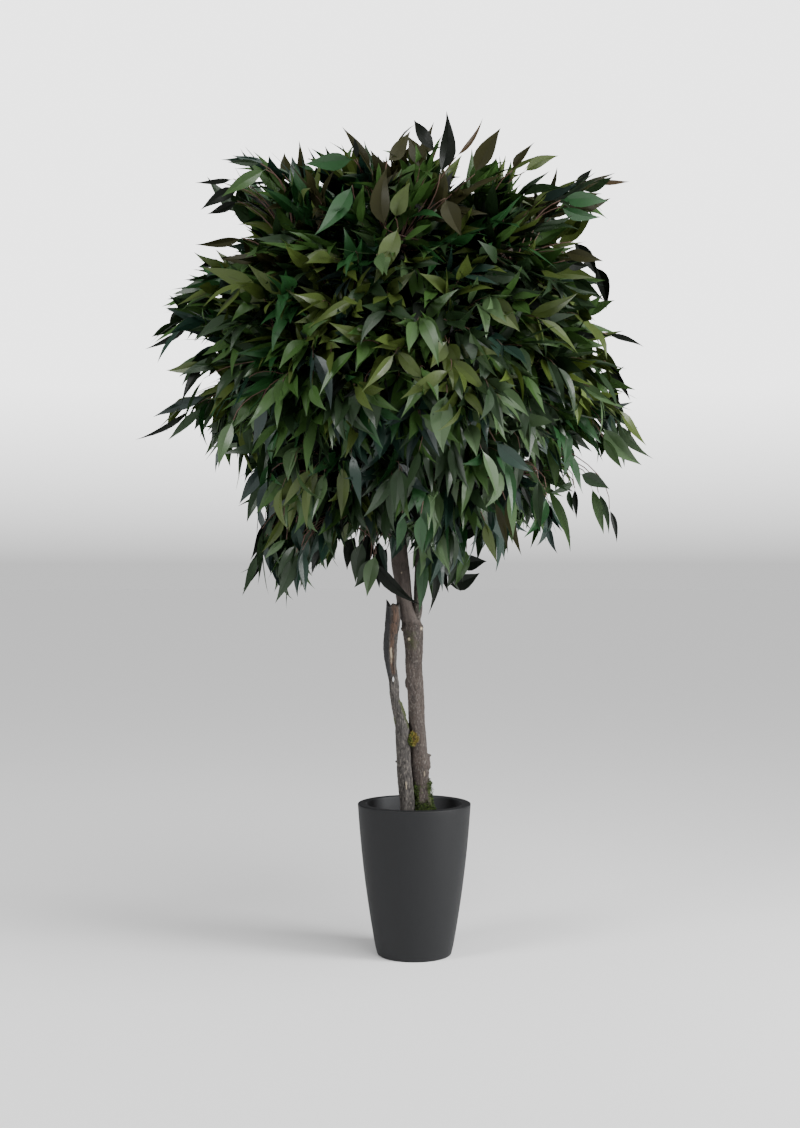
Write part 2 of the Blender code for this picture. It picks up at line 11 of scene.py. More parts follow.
import bpy
import numpy as np
from bpy.props import FloatProperty, FloatVectorProperty, IntProperty, PointerProperty
from bpy.types import Operator, Panel, PropertyGroup
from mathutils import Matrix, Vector, noise


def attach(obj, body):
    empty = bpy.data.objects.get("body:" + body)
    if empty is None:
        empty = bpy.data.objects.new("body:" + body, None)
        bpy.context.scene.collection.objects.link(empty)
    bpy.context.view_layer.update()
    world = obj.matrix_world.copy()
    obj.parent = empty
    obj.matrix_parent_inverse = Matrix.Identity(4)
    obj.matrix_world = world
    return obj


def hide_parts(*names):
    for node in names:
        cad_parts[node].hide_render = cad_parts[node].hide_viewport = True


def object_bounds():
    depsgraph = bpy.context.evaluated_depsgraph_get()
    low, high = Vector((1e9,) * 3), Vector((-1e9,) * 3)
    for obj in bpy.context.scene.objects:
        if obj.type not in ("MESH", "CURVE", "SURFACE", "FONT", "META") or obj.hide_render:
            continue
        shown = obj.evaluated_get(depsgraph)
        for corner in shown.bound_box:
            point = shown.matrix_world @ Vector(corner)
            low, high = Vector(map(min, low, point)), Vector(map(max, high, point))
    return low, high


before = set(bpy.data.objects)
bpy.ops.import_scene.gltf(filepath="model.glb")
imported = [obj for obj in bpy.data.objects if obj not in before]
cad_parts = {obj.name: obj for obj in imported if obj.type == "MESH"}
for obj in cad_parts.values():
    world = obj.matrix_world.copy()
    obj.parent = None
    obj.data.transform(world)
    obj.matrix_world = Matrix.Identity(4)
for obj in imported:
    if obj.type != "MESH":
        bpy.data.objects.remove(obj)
cad_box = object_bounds()

bl_info = {
    "name": "Potted eucalyptus tree",
    "version": (1, 0, 0),
    "blender": (4, 5, 0),
    "location": "3D view, sidebar, Tree",
    "description": "Dresses the solids of a potted eucalyptus tree in pot, bark, moss, twigs and leaves",
    "category": "Object",
}

BODY = "root"
UP = Vector((0, 0, 1))
SEED = 41

# Pot: sizes that a user doesn't change, and how fine its mesh is
POT_HEIGHT = 0.400
POT_FLOOR = 0.018
POT_FOOT_MIDDLE = 0.02
POT_RINGS = 28
POT_SIDES = 160
ROUNDING_STEPS = 6

# From how many degrees on the pot's edges are sharp, and how far inward the faces of its inside look
POT_CREASE = 50
POT_INWARD = -0.5

# Filling: its side below the surface, the lumps of its crust by scale and height, and the crumbs on it
FILL_TOP = 0.352
FILL_GAP = 0.0006
FILL_SIDE = ((0.006, 0.030), (0.0, 0.012))
FILL_RINGS = 30
FILL_SIDES = 120
CRUST_LEVEL = FILL_TOP + 0.001
CRUST_LAP = 0.0015
CRUST_RISE = 0.002
CRUST_LUMPS = ((45, 0.0035), (170, 0.0016))
CRUMB_COUNT = 700
CRUMB_WITHIN = 0.97
CRUMB_LEVEL = FILL_TOP + 0.004
CRUMB_SIZES = (0.0012, 0.0040)
CRUMB_REACH = (0.6, 1.3)

# Stems, foot first: x, y, height and radius where the line or the girth changes
STEM_FOOT = 0.3523
MAIN_STEM = (
    (0.0270, 0.006, STEM_FOOT, 0.0262),
    (0.0222, 0.006, 0.400, 0.0224),
    (0.0191, 0.006, 0.443, 0.0218),
    (0.0150, 0.005, 0.495, 0.0228),
    (0.0120, 0.005, 0.540, 0.0224),
    (0.0095, 0.004, 0.580, 0.0216),
    (0.0062, 0.004, 0.625, 0.0215),
    (0.0020, 0.004, 0.705, 0.0214),
    (-0.0004, 0.003, 0.756, 0.0222),
    (0.0006, 0.003, 0.805, 0.0228),
    (-0.0030, 0.002, 0.855, 0.0268),
    (-0.0120, 0.002, 0.890, 0.0240),
    (-0.0250, 0.003, 0.932, 0.0208),
    (-0.0305, 0.004, 0.985, 0.0210),
    (-0.0395, 0.004, 1.050, 0.0218),
    (-0.0440, 0.002, 1.150, 0.0198),
    (-0.046, 0.000, 1.250, 0.0180),
    (-0.043, -0.006, 1.420, 0.0145),
    (-0.046, 0.000, 1.580, 0.0105),
)
LEFT_STEM = (
    (-0.0175, -0.010, STEM_FOOT, 0.0215),
    (-0.0175, -0.010, 0.400, 0.0194),
    (-0.0223, -0.010, 0.443, 0.0192),
    (-0.0263, -0.010, 0.490, 0.0189),
    (-0.0285, -0.010, 0.540, 0.0185),
    (-0.0312, -0.009, 0.598, 0.0183),
    (-0.0373, -0.009, 0.6215, 0.0162),
    (-0.0472, -0.008, 0.658, 0.0126),
    (-0.0517, -0.0075, 0.682, 0.0115),
    (-0.0542, -0.007, 0.711, 0.0128),
    (-0.0552, -0.007, 0.727, 0.0128),
    (-0.0602, -0.008, 0.760, 0.0139),
    (-0.0627, -0.012, 0.800, 0.0170),
    (-0.0620, -0.016, 0.836, 0.0181),
    (-0.0580, -0.022, 0.876, 0.0194),
    (-0.0564, -0.027, 0.908, 0.0182),
    (-0.0572, -0.031, 0.932, 0.0160),
)
TORN_END = {"from": 0.914, "bearing": 176, "spread": 34, "spike": 0.016, "dip": 0.014, "even": 0.5,
            "splinters": 3.25}
RIGHT_LIMB = (
    (-0.0060, 0.002, 0.866, 0.0120),
    (0.0085, 0.000, 0.905, 0.0116),
    (0.0100, -0.002, 0.975, 0.0105),
    (0.0150, -0.002, 1.060, 0.0095),
    (0.0300, 0.000, 1.130, 0.0085),
)
RIGHT_LIMB_MASS = "skirt_3"
BARK_LUMP = 0.045
BARK_WAVES = ((3, 21), (5, -34))
SLIT = {"place": (-0.0555, -0.008, 0.728), "size": (0.0026, 0.040, 0.0085), "rings": 9, "sides": 16}

# Above this height the leaves hide the main stem, and its steps are this many times longer
COARSE_ABOVE = 1.0
COARSE_STEP = 3

# Marks on the bark: bearing and spread in degrees, lowest and highest place, softness of the ends, and lift
Mark = namedtuple("Mark", "bearing spread low high soft lift")
MAIN_MARKS = (
    Mark(180, 34, 0.704, 0.728, 0.012, 0.0050),
    Mark(185, 26, 0.856, 0.866, 0.005, 0.0040),
    Mark(-60, 400, 0.862, 0.872, 0.004, 0.0016),
    Mark(-60, 400, 0.878, 0.884, 0.004, -0.0012),
    Mark(0, 22, 0.523, 0.529, 0.003, 0.0055),
    Mark(-8, 40, 0.490, 0.527, 0.010, 0.0058),
    Mark(10, 40, 0.462, 0.474, 0.010, -0.0020),
    Mark(-95, 30, 0.480, 0.610, 0.050, 0.0014),
    Mark(-35, 25, 0.356, 0.420, 0.030, 0.0040),
    Mark(-121, 15, 0.829, 0.842, 0.004, 0.0020),
)
LEFT_MARKS = (
    Mark(8, 34, 0.630, 0.668, 0.004, 0.0034),
    Mark(180, 16, 0.508, 0.513, 0.003, 0.0050),
    Mark(-80, 30, 0.748, 0.880, 0.012, -0.0026),
    Mark(150, 40, 0.640, 0.700, 0.020, 0.0018),
)
TORN = Mark(-76, 22, 0.742, 0.870, 0.014, 1)
TORN_TOP = Mark(-62, 38, 0.850, 0.960, 0.016, 1)
MAIN_SCARS = (
    Mark(-121, 8, 0.832, 0.839, 0.003, 0.85),
    Mark(-30, 10, 0.860, 0.867, 0.004, 0.85),
    Mark(-88, 5, 1.009, 1.013, 0.002, 0.9),
    Mark(-62, 3, 0.470, 0.486, 0.006, 0.62),
)
# The paler upper bark of the main stem: partly its own smoother bark, partly painted light
MAIN_SMOOTH = (Mark(0, 900, 0.880, 1.60, 0.020, 0.8),)
LEFT_SCARS = (Mark(-85, 4, 0.440, 0.460, 0.007, 0.60), Mark(-84, 16, 0.772, 0.815, 0.014, 0.38))
# Dark band on the left stem's outer side: partly its own smooth bark, partly painted shade
LEFT_SMOOTH = (Mark(-152, 54, 0.735, 0.960, 0.020, 0.9),)
MAIN_MOSS = (
    Mark(-140, 26, 0.340, 0.445, 0.020, 1),
    Mark(-22, 24, 0.340, 0.455, 0.018, 1),
    Mark(-75, 62, 0.340, 0.398, 0.022, 1),
    Mark(-105, 50, 0.805, 0.858, 0.020, 0.34),
)
LEFT_MOSS = (
    Mark(-168, 26, 0.610, 0.628, 0.008, 0.8),
    Mark(-14, 30, 0.598, 0.674, 0.010, 0.8),
    Mark(165, 26, 0.670, 0.698, 0.010, 0.6),
)

# Furrows of the bark, from broad to fine: how close, how far drawn out, how wide and how deep
Furrow = namedtuple("Furrow", "scale stretch width depth")
MAIN_FURROWS = (Furrow(210, 2.2, 0.14, 0.50), Furrow(90, 4, 0.07, 0.6), Furrow(430, 1.6, 0.20, 0.30))
LEFT_FURROWS = (Furrow(150, 6.5, 0.15, 1.0), Furrow(330, 5, 0.18, 0.5))
LIMB_FURROWS = (Furrow(230, 4, 0.16, 0.6),)
FURROW_WAVER = 0.6
FURROW_WAVER_SCALE = 0.4
# How strongly a furrow's depth darkens the bark's colour: painted shade in the furrows
FURROW_SHADE = 0.85

# How each stem's bark is made: columns round it, step along it, share of the relief, and what shows on it
Skin = namedtuple("Skin", "columns step relief furrows marks masks")
MAIN_SKIN = Skin(84, 0.0024, 1.0, MAIN_FURROWS, MAIN_MARKS, {
    "torn": (),
    "scar": MAIN_SCARS,
    "moss": MAIN_MOSS,
    "smooth": MAIN_SMOOTH,
})
LEFT_SKIN = Skin(72, 0.0024, 1.0, LEFT_FURROWS, LEFT_MARKS, {
    "torn": (TORN, TORN_TOP),
    "scar": LEFT_SCARS,
    "moss": LEFT_MOSS,
    "smooth": LEFT_SMOOTH,
})
LIMB_SKIN = Skin(30, 0.0036, 0.6, LIMB_FURROWS, (), {"torn": (), "scar": (), "moss": (), "smooth": ()})

# Fine relief of the bark as scale and strength of its noises, what flattens it, and how the masks end
BARK_GRAIN = ((400, 0.25), (120, 0.35))
BARK_SWELL = 0.3
SMOOTHING = 0.6
TORN_SMOOTHING = 0.6
LEAST_GIRTH = 0.4
RAGGED = ((90, 0.5), (300, 0.4))
RAGGED_MIDDLE = 0.5
RAGGED_SHARE = 0.9
MASK_GAIN = 2.4

# Moss: how it climbs and thins out at the stem's foot, the tuft between the stems, and its leaflets
MOSS_CLIMB = 0.13
MOSS_THINNING = 1.6
MOSS_DENSITY = 1.3
MOSS_LOOKS_UP = 0.25
MOSS_THICKNESS = (-0.002, 0.006)
MOUND_TOP = 0.39
MOUND_HEIGHT = 0.04
MOUND_DEPTH = 0.012
GREEN_MOSS = 0.55
MOSS_TUFT = {"place": (-0.003, -0.021, 0.572), "size": (0.014, 0.013, 0.019), "base": 0.76, "lump": 0.50,
             "lump_scale": 2.2, "gold_from": -0.4, "gold_blur": 0.5}
FOOT_LEAFLETS = (0.6, 1.2)
TUFT_LEAFLETS = (0.6, 1.1)
LEAFLET_WANDER = 0.8
LEAFLET_BEND = 0.3
LEAFLET_HALF_WIDTH = 0.16

# Crown outline: height, reach of the leaf tips to the right and to the left of the crown's axis
CROWN_AXIS_X = -0.045
CROWN_HEART = Vector((CROWN_AXIS_X, 0, 1.52))
CROWN_OUTLINE = (
    (0.90, 0.10, 0.37),
    (1.00, 0.22, 0.41),
    (1.05, 0.36, 0.41),
    (1.10, 0.56, 0.40),
    (1.18, 0.555, 0.43),
    (1.27, 0.55, 0.46),
    (1.33, 0.68, 0.54),
    (1.39, 0.66, 0.685),
    (1.47, 0.62, 0.58),
    (1.54, 0.62, 0.63),
    (1.61, 0.64, 0.68),
    (1.68, 0.58, 0.655),
    (1.78, 0.58, 0.58),
    (1.86, 0.55, 0.505),
    (2.00, 0.575, 0.545),
    (2.05, 0.52, 0.54),
    (2.09, 0.24, 0.46),
    (2.13, 0.17, 0.31),
    (2.17, 0.11, 0.13),
    (2.235, 0.05, 0.05),
)
CROWN_UNDERSIDE = (
    (-0.45, 0.95),
    (-0.24, 0.94),
    (-0.205, 1.06),
    (-0.085, 1.07),
    (-0.012, 1.06),
    (0.004, 0.93),
    (0.09, 0.91),
    (0.17, 0.98),
    (0.24, 1.04),
    (0.33, 1.08),
    (0.42, 1.15),
    (0.60, 1.22),
)
EDGE_SEARCH_START = 0.15
EDGE_SEARCH_STEP = 0.005
FALL_AT_TOP = 72
FALL_RATE = 1.30
FALL_STEEPEST = -84
MASS_RINGS = {
    "shoulder": {"count": 6, "bearing": 270, "elevation": 43, "from": 1.475, "rise": 0.014},
    "flank": {"count": 7, "bearing": 285, "elevation": 2, "from": 1.26, "rise": 0.022},
    "skirt": {"count": 6, "bearing": 240, "elevation": -46, "from": 1.085, "rise": 0.020},
}
SITE_SHARE = 0.62
GOLDEN_TURN = math.pi * (3 - math.sqrt(5))

# Limbs and twigs: radii at root and tip, corners round, and how paths run
BOUGH_RADII = (0.0085, 0.0058)
BOUGH_BELOW_TIP = 0.035
BOUGH_LIFT = 0.045
BOUGH_ROUND = 9
BOUGH_POINTS = 14
BRANCHLET_SHARE = 0.64
BRANCHLET_FROM = (0.50, 0.98)
BRANCHLET_BEND = 0.5
BRANCHLET_RADII = (0.0044, 0.0024)
BRANCHLET_ROUND = 5
BRANCHLET_POINTS = 9
TWIG_RADII = (0.0020, 0.0008)
TWIG_ROUND = 3
TWIG_POINTS = 8
TWIG_BEND = 0.42
TWIG_LENGTHS = (0.17, 0.36)
TWIG_BARE = (0.12, 0.30)
TWIG_DEPTHS = (1.05, 0.94, 0.80, 1.01, 0.88, 0.66)
TWIG_TRIES = 7
TWIG_WANDER = 0.3
LEAST_LEAVES = 3
TIP_LEAF_SHARE = 0.78
SKIRT_BELOW = -0.28
SKIRT_WITHIN = 0.52
CLUMP_DEPTH = 0.20
CLUMP_SCALE = 3.4
NOTCH_DEPTH = 0.11
NOTCH_BELOW = 1.1
NOTCH_MIDDLE = 0.25
NOTCH_SCALE = 8.5

# Furthest leaf tips in the front view, with the way that their sprays may pass the outline
REACHING_STRETCH = 1.40
REACHING_TIPS = (
    (-0.722, -0.04, 1.348),
    (-0.535, 0.03, 1.960),
    (-0.150, -0.03, 2.165),
    (-0.285, 0.00, 2.140),
    (0.460, -0.04, 1.065),
    (0.365, -0.03, 1.070),
    (-0.690, 0.02, 1.400),
    (-0.705, -0.06, 1.600),
    (-0.680, 0.03, 1.705),
    (-0.580, -0.05, 1.790),
    (-0.558, 0.02, 1.990),
    (-0.490, -0.03, 2.105),
    (-0.440, 0.05, 2.135),
    (-0.010, -0.03, 2.232),
    (0.095, 0.02, 2.232),
    (0.215, -0.04, 2.185),
    (0.300, 0.03, 2.150),
    (0.375, -0.06, 2.120),
    (0.560, 0.00, 2.050),
    (0.500, -0.20, 2.010),
    (0.525, 0.03, 1.760),
    (0.610, -0.03, 1.628),
    (0.590, 0.04, 1.530),
    (0.622, -0.02, 1.305),
    (0.598, 0.05, 1.365),
    (0.548, -0.02, 1.092),
    (0.490, 0.04, 1.150),
    (0.430, -0.08, 1.105),
    (0.350, 0.05, 1.075),
    (0.520, -0.05, 1.190),
    (0.225, -0.10, 1.010),
    (-0.365, -0.08, 0.942),
    (-0.430, 0.00, 0.955),
)

# Leaves that hang free round the fork: colour, root, tip and width. The near-black ones are painted shade,
# and the pale sage one partly painted sheen
FORK_LEAVES = (
    ("emerald", (0.018, -0.062, 1.075), (0.026, -0.050, 0.905), 0.036),
    ("painted_shade_green", (-0.103, -0.074, 1.045), (-0.006, -0.060, 0.902), 0.038),
    ("deep_green", (-0.135, -0.030, 1.095), (-0.165, -0.030, 0.985), 0.042),
    ("painted_shade_green", (-0.095, 0.030, 1.100), (-0.082, 0.030, 0.985), 0.038),
    ("painted_shade_green", (-0.155, 0.000, 1.110), (-0.195, 0.010, 1.020), 0.042),
    ("painted_shade_green", (-0.120, 0.020, 1.120), (-0.135, 0.020, 1.010), 0.042),
    ("teal", (-0.028, -0.062, 1.125), (-0.064, -0.056, 1.045), 0.042),
    ("painted_shade_green", (0.060, -0.050, 1.065), (0.058, -0.045, 0.892), 0.024),
    ("deep_green", (0.120, -0.070, 1.060), (0.086, -0.060, 0.965), 0.032),
    ("leaf_green", (0.135, -0.090, 1.075), (0.112, -0.080, 0.972), 0.032),
    ("painted_shade_green", (0.092, 0.020, 0.978), (0.178, 0.010, 1.000), 0.044),
    ("painted_shade_green", (0.110, 0.030, 1.115), (0.184, 0.020, 1.136), 0.046),
    ("painted_shade_green", (0.118, 0.010, 1.028), (0.190, 0.000, 1.050), 0.044),
    ("sage", (-0.100, -0.120, 1.060), (-0.127, -0.110, 0.950), 0.040),
    ("deep_green", (-0.115, -0.050, 1.050), (-0.150, -0.040, 0.965), 0.040),
    ("painted_shade_green", (-0.070, 0.045, 1.080), (-0.115, 0.050, 0.975), 0.040),
    ("painted_shade_green", (0.070, 0.060, 1.075), (0.085, 0.060, 0.955), 0.028),
)

# Leaves that stand out from the front: colour, then root and tip across and up as seen there, and width. The
# near-black ones are painted shade, and the pale sage ones partly painted sheen
FRONT_LEAVES = (
    # Against the sky
    ("painted_shade_green", (0.068, 2.069), (0.105, 2.228), 0.040),
    ("painted_shade_green", (0.055, 2.129), (-0.012, 2.228), 0.032),
    ("brown_olive", (0.160, 2.069), (0.224, 2.196), 0.044),
    ("bronze", (0.110, 2.115), (0.201, 2.210), 0.013),
    ("brown_olive", (0.260, 2.079), (0.313, 2.165), 0.027),
    ("olive", (0.292, 2.074), (0.379, 2.132), 0.028),
    ("brown_olive", (-0.073, 2.101), (-0.005, 2.179), 0.038),
    ("brown_olive", (0.014, 2.083), (-0.005, 2.177), 0.038),
    ("painted_shade_green", (-0.153, 2.110), (-0.155, 2.169), 0.015),
    ("deep_green", (-0.407, 2.097), (-0.506, 2.101), 0.020),
    ("painted_shade_green", (-0.480, 2.056), (-0.581, 2.042), 0.014),
    ("painted_shade_green", (-0.462, 2.033), (-0.576, 1.983), 0.032),
    ("painted_shade_green", (0.425, 2.037), (0.475, 2.083), 0.022),
    ("bronze", (0.480, 2.047), (0.576, 2.047), 0.014),
    ("painted_shade_green", (0.480, 1.827), (0.526, 1.717), 0.036),
    ("painted_shade_green", (0.512, 1.644), (0.613, 1.621), 0.016),
    ("painted_shade_green", (0.507, 1.571), (0.580, 1.471), 0.024),
    ("sage", (0.538, 1.410), (0.625, 1.303), 0.044),
    ("slate", (-0.549, 1.482), (-0.700, 1.423), 0.030),
    ("painted_shade_green", (-0.592, 1.446), (-0.731, 1.348), 0.016),
    ("painted_shade_green", (-0.600, 1.660), (-0.712, 1.598), 0.016),
    ("deep_green", (0.439, 1.274), (0.521, 1.237), 0.036),
    ("leaf_green", (0.470, 1.239), (0.503, 1.107), 0.028),
    ("deep_green", (0.489, 1.224), (0.531, 1.118), 0.018),
    ("painted_shade_green", (0.518, 1.180), (0.549, 1.091), 0.016),
    ("deep_green", (0.424, 1.245), (0.366, 1.222), 0.032),
    ("deep_green", (0.411, 1.234), (0.418, 1.168), 0.016),
    ("painted_shade_green", (0.426, 1.236), (0.432, 1.153), 0.016),
    ("sage", (0.328, 1.259), (0.324, 1.132), 0.021),
    ("emerald", (0.353, 1.214), (0.312, 1.095), 0.030),
    ("deep_green", (-0.312, 1.065), (-0.365, 0.927), 0.042),
    ("brown_olive", (-0.455, 1.900), (-0.580, 1.872), 0.024),
    ("painted_shade_green", (-0.470, 1.998), (-0.546, 1.957), 0.024),
    ("painted_shade_green", (-0.560, 1.560), (-0.628, 1.466), 0.030),
    ("olive", (-0.560, 1.572), (-0.660, 1.535), 0.026),
    ("painted_shade_green", (0.400, 1.840), (0.470, 1.812), 0.030),
    ("leaf_green", (-0.395, 2.082), (-0.515, 2.012), 0.036),
    ("brown_olive", (0.395, 1.862), (0.503, 1.842), 0.032),
    ("painted_shade_green", (0.420, 1.890), (0.500, 1.800), 0.034),
    ("deep_green", (0.415, 1.800), (0.498, 1.735), 0.030),
    ("sage", (0.500, 1.400), (0.591, 1.284), 0.046),
    ("leaf_green", (0.500, 1.372), (0.553, 1.286), 0.028),
    ("slate", (-0.395, 1.295), (-0.468, 1.194), 0.034),
    ("deep_green", (-0.395, 1.250), (-0.455, 1.150), 0.030),
    ("slate", (-0.385, 1.262), (-0.422, 1.155), 0.028),
    ("painted_shade_green", (-0.408, 1.085), (-0.440, 0.957), 0.026),
    ("teal", (-0.297, 1.060), (-0.327, 0.946), 0.026),
    ("deep_green", (-0.281, 1.100), (-0.294, 0.978), 0.022),
    ("painted_shade_green", (-0.243, 1.080), (-0.276, 1.006), 0.030),
    ("painted_shade_green", (-0.395, 1.150), (-0.427, 1.041), 0.026),
    ("brown_olive", (0.242, 1.205), (0.281, 1.055), 0.024),
    ("brown_olive", (0.212, 1.205), (0.258, 1.060), 0.020),
    ("olive", (0.187, 1.150), (0.216, 1.032), 0.032),
    ("leaf_green", (0.350, 1.238), (0.442, 1.080), 0.026),
    ("slate", (0.357, 1.140), (0.367, 1.059), 0.018),
    # Within the crown
    ("leaf_green", (-0.332, 1.281), (-0.424, 1.171), 0.036),
    ("slate", (-0.322, 1.252), (-0.402, 1.149), 0.038),
    ("olive", (-0.308, 1.215), (-0.339, 1.121), 0.026),
    ("leaf_green", (-0.276, 1.236), (-0.308, 1.107), 0.030),
    ("sage", (-0.238, 1.281), (-0.262, 1.149), 0.034),
    ("olive", (-0.191, 1.302), (-0.187, 1.152), 0.034),
    ("olive", (-0.220, 1.165), (-0.227, 1.042), 0.026),
    ("teal", (-0.314, 1.145), (-0.304, 1.051), 0.030),
    ("olive", (-0.346, 1.163), (-0.398, 1.058), 0.026),
    ("sage", (-0.339, 1.100), (-0.405, 1.046), 0.020),
    ("teal", (-0.095, 1.097), (-0.063, 1.002), 0.022),
    ("emerald", (-0.032, 1.170), (-0.039, 1.065), 0.026),
    ("emerald", (-0.160, 2.108), (-0.293, 2.098), 0.042),
    ("emerald", (-0.165, 2.040), (-0.244, 1.900), 0.044),
    ("brown_olive", (-0.078, 1.928), (-0.103, 2.088), 0.048),
    ("olive", (-0.050, 1.951), (-0.023, 2.051), 0.042),
    ("brown_olive", (0.082, 2.005), (0.121, 1.908), 0.048),
    ("olive", (-0.043, 1.928), (-0.101, 1.786), 0.048),
    ("leaf_green", (0.000, 1.832), (0.006, 1.697), 0.042),
    ("olive", (0.192, 1.740), (0.288, 1.658), 0.052),
    ("deep_green", (0.178, 1.800), (0.288, 1.798), 0.044),
    ("emerald", (0.388, 2.000), (0.521, 2.005), 0.040),
    ("emerald", (0.388, 1.983), (0.494, 1.935), 0.034),
    ("olive", (0.087, 1.626), (0.043, 1.557), 0.042),
    ("olive", (0.091, 1.621), (0.123, 1.562), 0.042),
    ("sage", (0.146, 1.658), (0.204, 1.514), 0.032),
    ("sage", (0.082, 1.555), (0.015, 1.482), 0.040),
    ("sage", (0.100, 1.567), (0.131, 1.471), 0.036),
    ("sage", (0.087, 1.489), (0.057, 1.329), 0.054),
    ("deep_green", (-0.133, 1.503), (-0.089, 1.393), 0.048),
    ("slate", (-0.403, 1.475), (-0.418, 1.343), 0.030),
    ("sage", (-0.480, 1.416), (-0.531, 1.292), 0.036),
    ("teal", (0.215, 1.361), (0.311, 1.265), 0.038),
    ("emerald", (0.334, 1.251), (0.315, 1.114), 0.030),
    ("emerald", (0.018, 1.169), (0.015, 1.055), 0.030),
)

# Where the photo shows sky at the crown's edge: place as seen at the stems' plane, half width, half height
SKY_GAPS = (
    (-0.098, 2.168, 0.038, 0.040),
    (0.115, 2.064, 0.028, 0.026),
    (0.325, 2.070, 0.040, 0.018),
    (-0.487, 1.950, 0.042, 0.034),
    (-0.610, 1.612, 0.055, 0.034),
    (-0.655, 1.480, 0.040, 0.042),
    (-0.556, 1.520, 0.030, 0.030),
    (0.465, 1.290, 0.038, 0.052),
    (0.555, 1.215, 0.028, 0.085),
    (0.440, 1.160, 0.028, 0.058),
    (0.395, 1.180, 0.020, 0.030),
    (0.150, 1.088, 0.024, 0.032),
    (-0.449, 1.040, 0.020, 0.060),
    (-0.262, 0.975, 0.028, 0.038),
    (0.535, 1.590, 0.022, 0.035),
    (0.520, 1.700, 0.034, 0.038),
    (0.595, 1.448, 0.030, 0.015),
    (0.485, 1.915, 0.028, 0.020),
    (-0.482, 1.310, 0.014, 0.028),
)
GAP_SHARES = (0.35, 0.7, 1.0)

# How the listed leaves find their depth, and how they are turned and bent
SIGHT_STEPS = 120
SIGHT_REACH = 0.22
ROOT_ROOM = 0.88
TIP_ROOM = 0.96
TIP_LEAN = (-0.05, 0.03)
PLACED_TURN = (-0.8, 0.3)
PLACED_TILT = (-0.65, -0.20)
PLACED_CURL = 0.5
PLACED_FOLD = 0.32
PLACED_TWIG_RADII = (0.0022, 0.0014)

# Leaf outline: place along the leaf and half width there, the first two on the stalk
LEAF_ROWS = (
    (0.0, 0.035),
    (0.07, 0.05),
    (0.17, 0.57),
    (0.28, 0.91),
    (0.41, 1.0),
    (0.56, 0.85),
    (0.72, 0.54),
    (0.87, 0.21),
)
LEAF_COLUMNS = (-1.0, -0.5, 0.0, 0.5, 1.0)

# How a leaf leaves its twig, hangs, turns and bends
LEAF_SPLAY = (20, 46)
LEAF_PULL = (0.20, 0.50)
LEAF_WANDER = 0.28
HANG_PULL = 0.55
HANG_SLIM = 0.36
LEAF_ROLL = 0.45
LEAF_TURN = 0.95
LEAF_LOOKS_UP = 0.25
LEAF_SIZES = (0.78, 1.16)
LEAF_WIDTHS = (0.76, 1.18)
LEAF_SHRINK = 0.12
LEAF_SICKLE = 0.36
SICKLE_CROSSING = 0.55
LEAF_CURL = (-0.35, 0.98)
LEAF_FOLD = (-0.10, 0.46)
LEAF_TWIST = 0.75
LEAF_WAVE = 0.20
LEAF_WAVES_ALONG = 5
OUTLINE_STRETCH = (1.00, 1.07)
STEM_CLEARANCE = 0.004
BOX_ROOM = 0.033

# How sprays share the leaf colours out over the crown, and how glossy each colour is
COLOUR_SHARES = {
    "top": {"brown_olive": 9, "bronze": 1, "olive": 3, "leaf_green": 4, "deep_green": 4, "emerald": 1},
    "shoulder_left": {"leaf_green": 6, "emerald": 5, "deep_green": 5, "teal": 2, "olive": 3,
                      "brown_olive": 1},
    "shoulder_right": {"leaf_green": 6, "olive": 4, "emerald": 3, "deep_green": 4, "slate": 1,
                       "brown_olive": 1},
    "flank_left": {"leaf_green": 6, "olive": 4, "deep_green": 4, "slate": 1, "sage": 1, "teal": 1,
                   "emerald": 1},
    "flank_right": {"olive": 5, "leaf_green": 6, "bright_olive": 2, "deep_green": 4, "sage": 2, "teal": 1},
    "skirt": {"deep_green": 6, "leaf_green": 5, "slate": 2, "teal": 3, "emerald": 2, "sage": 2, "olive": 1},
}
TOP_ENDS = 48
TOP_WITHIN = 0.34
SHOULDER_ENDS = 72
FLANK_ENDS = 110
REGION_BLUR = 9
SIDE_BLUR = 0.25
ODD_LEAVES = 0.10
GLOSSY = {
    "sage": 2.4,
    "emerald": 1.6,
    "leaf_green": 1.2,
    "brown_olive": 0.4,
    "bronze": 0.4,
    "painted_shade_green": 0.3,
}
# Painted shade: deeper than this, a share of the sprays take the near-black leaves
SHADE_DEPTH = 0.85
SHADE_SHARE = 0.45

# Finishes: scale and stretch of the grain, range of roughness, depth of the relief, and sheen
PLASTIC = {"scale": 700, "stretch": 1, "rough": (0.50, 0.66), "bump": 0.0003, "sheen": 0.32}
CRUST = {"scale": 130, "stretch": 1, "rough": (0.88, 0.98), "bump": 0.0016}
CRUMBS = {"scale": 60, "stretch": 1, "rough": (0.88, 0.98), "bump": 0.0008}
BOUGH_BARK = {"scale": 120, "stretch": 3, "rough": (0.75, 0.92), "bump": 0.0016}
BRANCHLET_BARK = {"scale": 400, "rough": (0.70, 0.90), "bump": 0.0006}
TWIG_BARK = {"scale": 500, "rough": (0.55, 0.75), "bump": 0.0003}
LEAF_SKIN = {"scale": 260, "rough": (0.38, 0.56), "bump": 0.0004, "coat_rough": 0.20}
MOSS_FINISH = {"scale": 600, "rough": (0.80, 0.95), "bump": 0.0004}
FLOOR_FINISH = {"scale": 40, "rough": (0.80, 0.95), "bump": 0.0002}

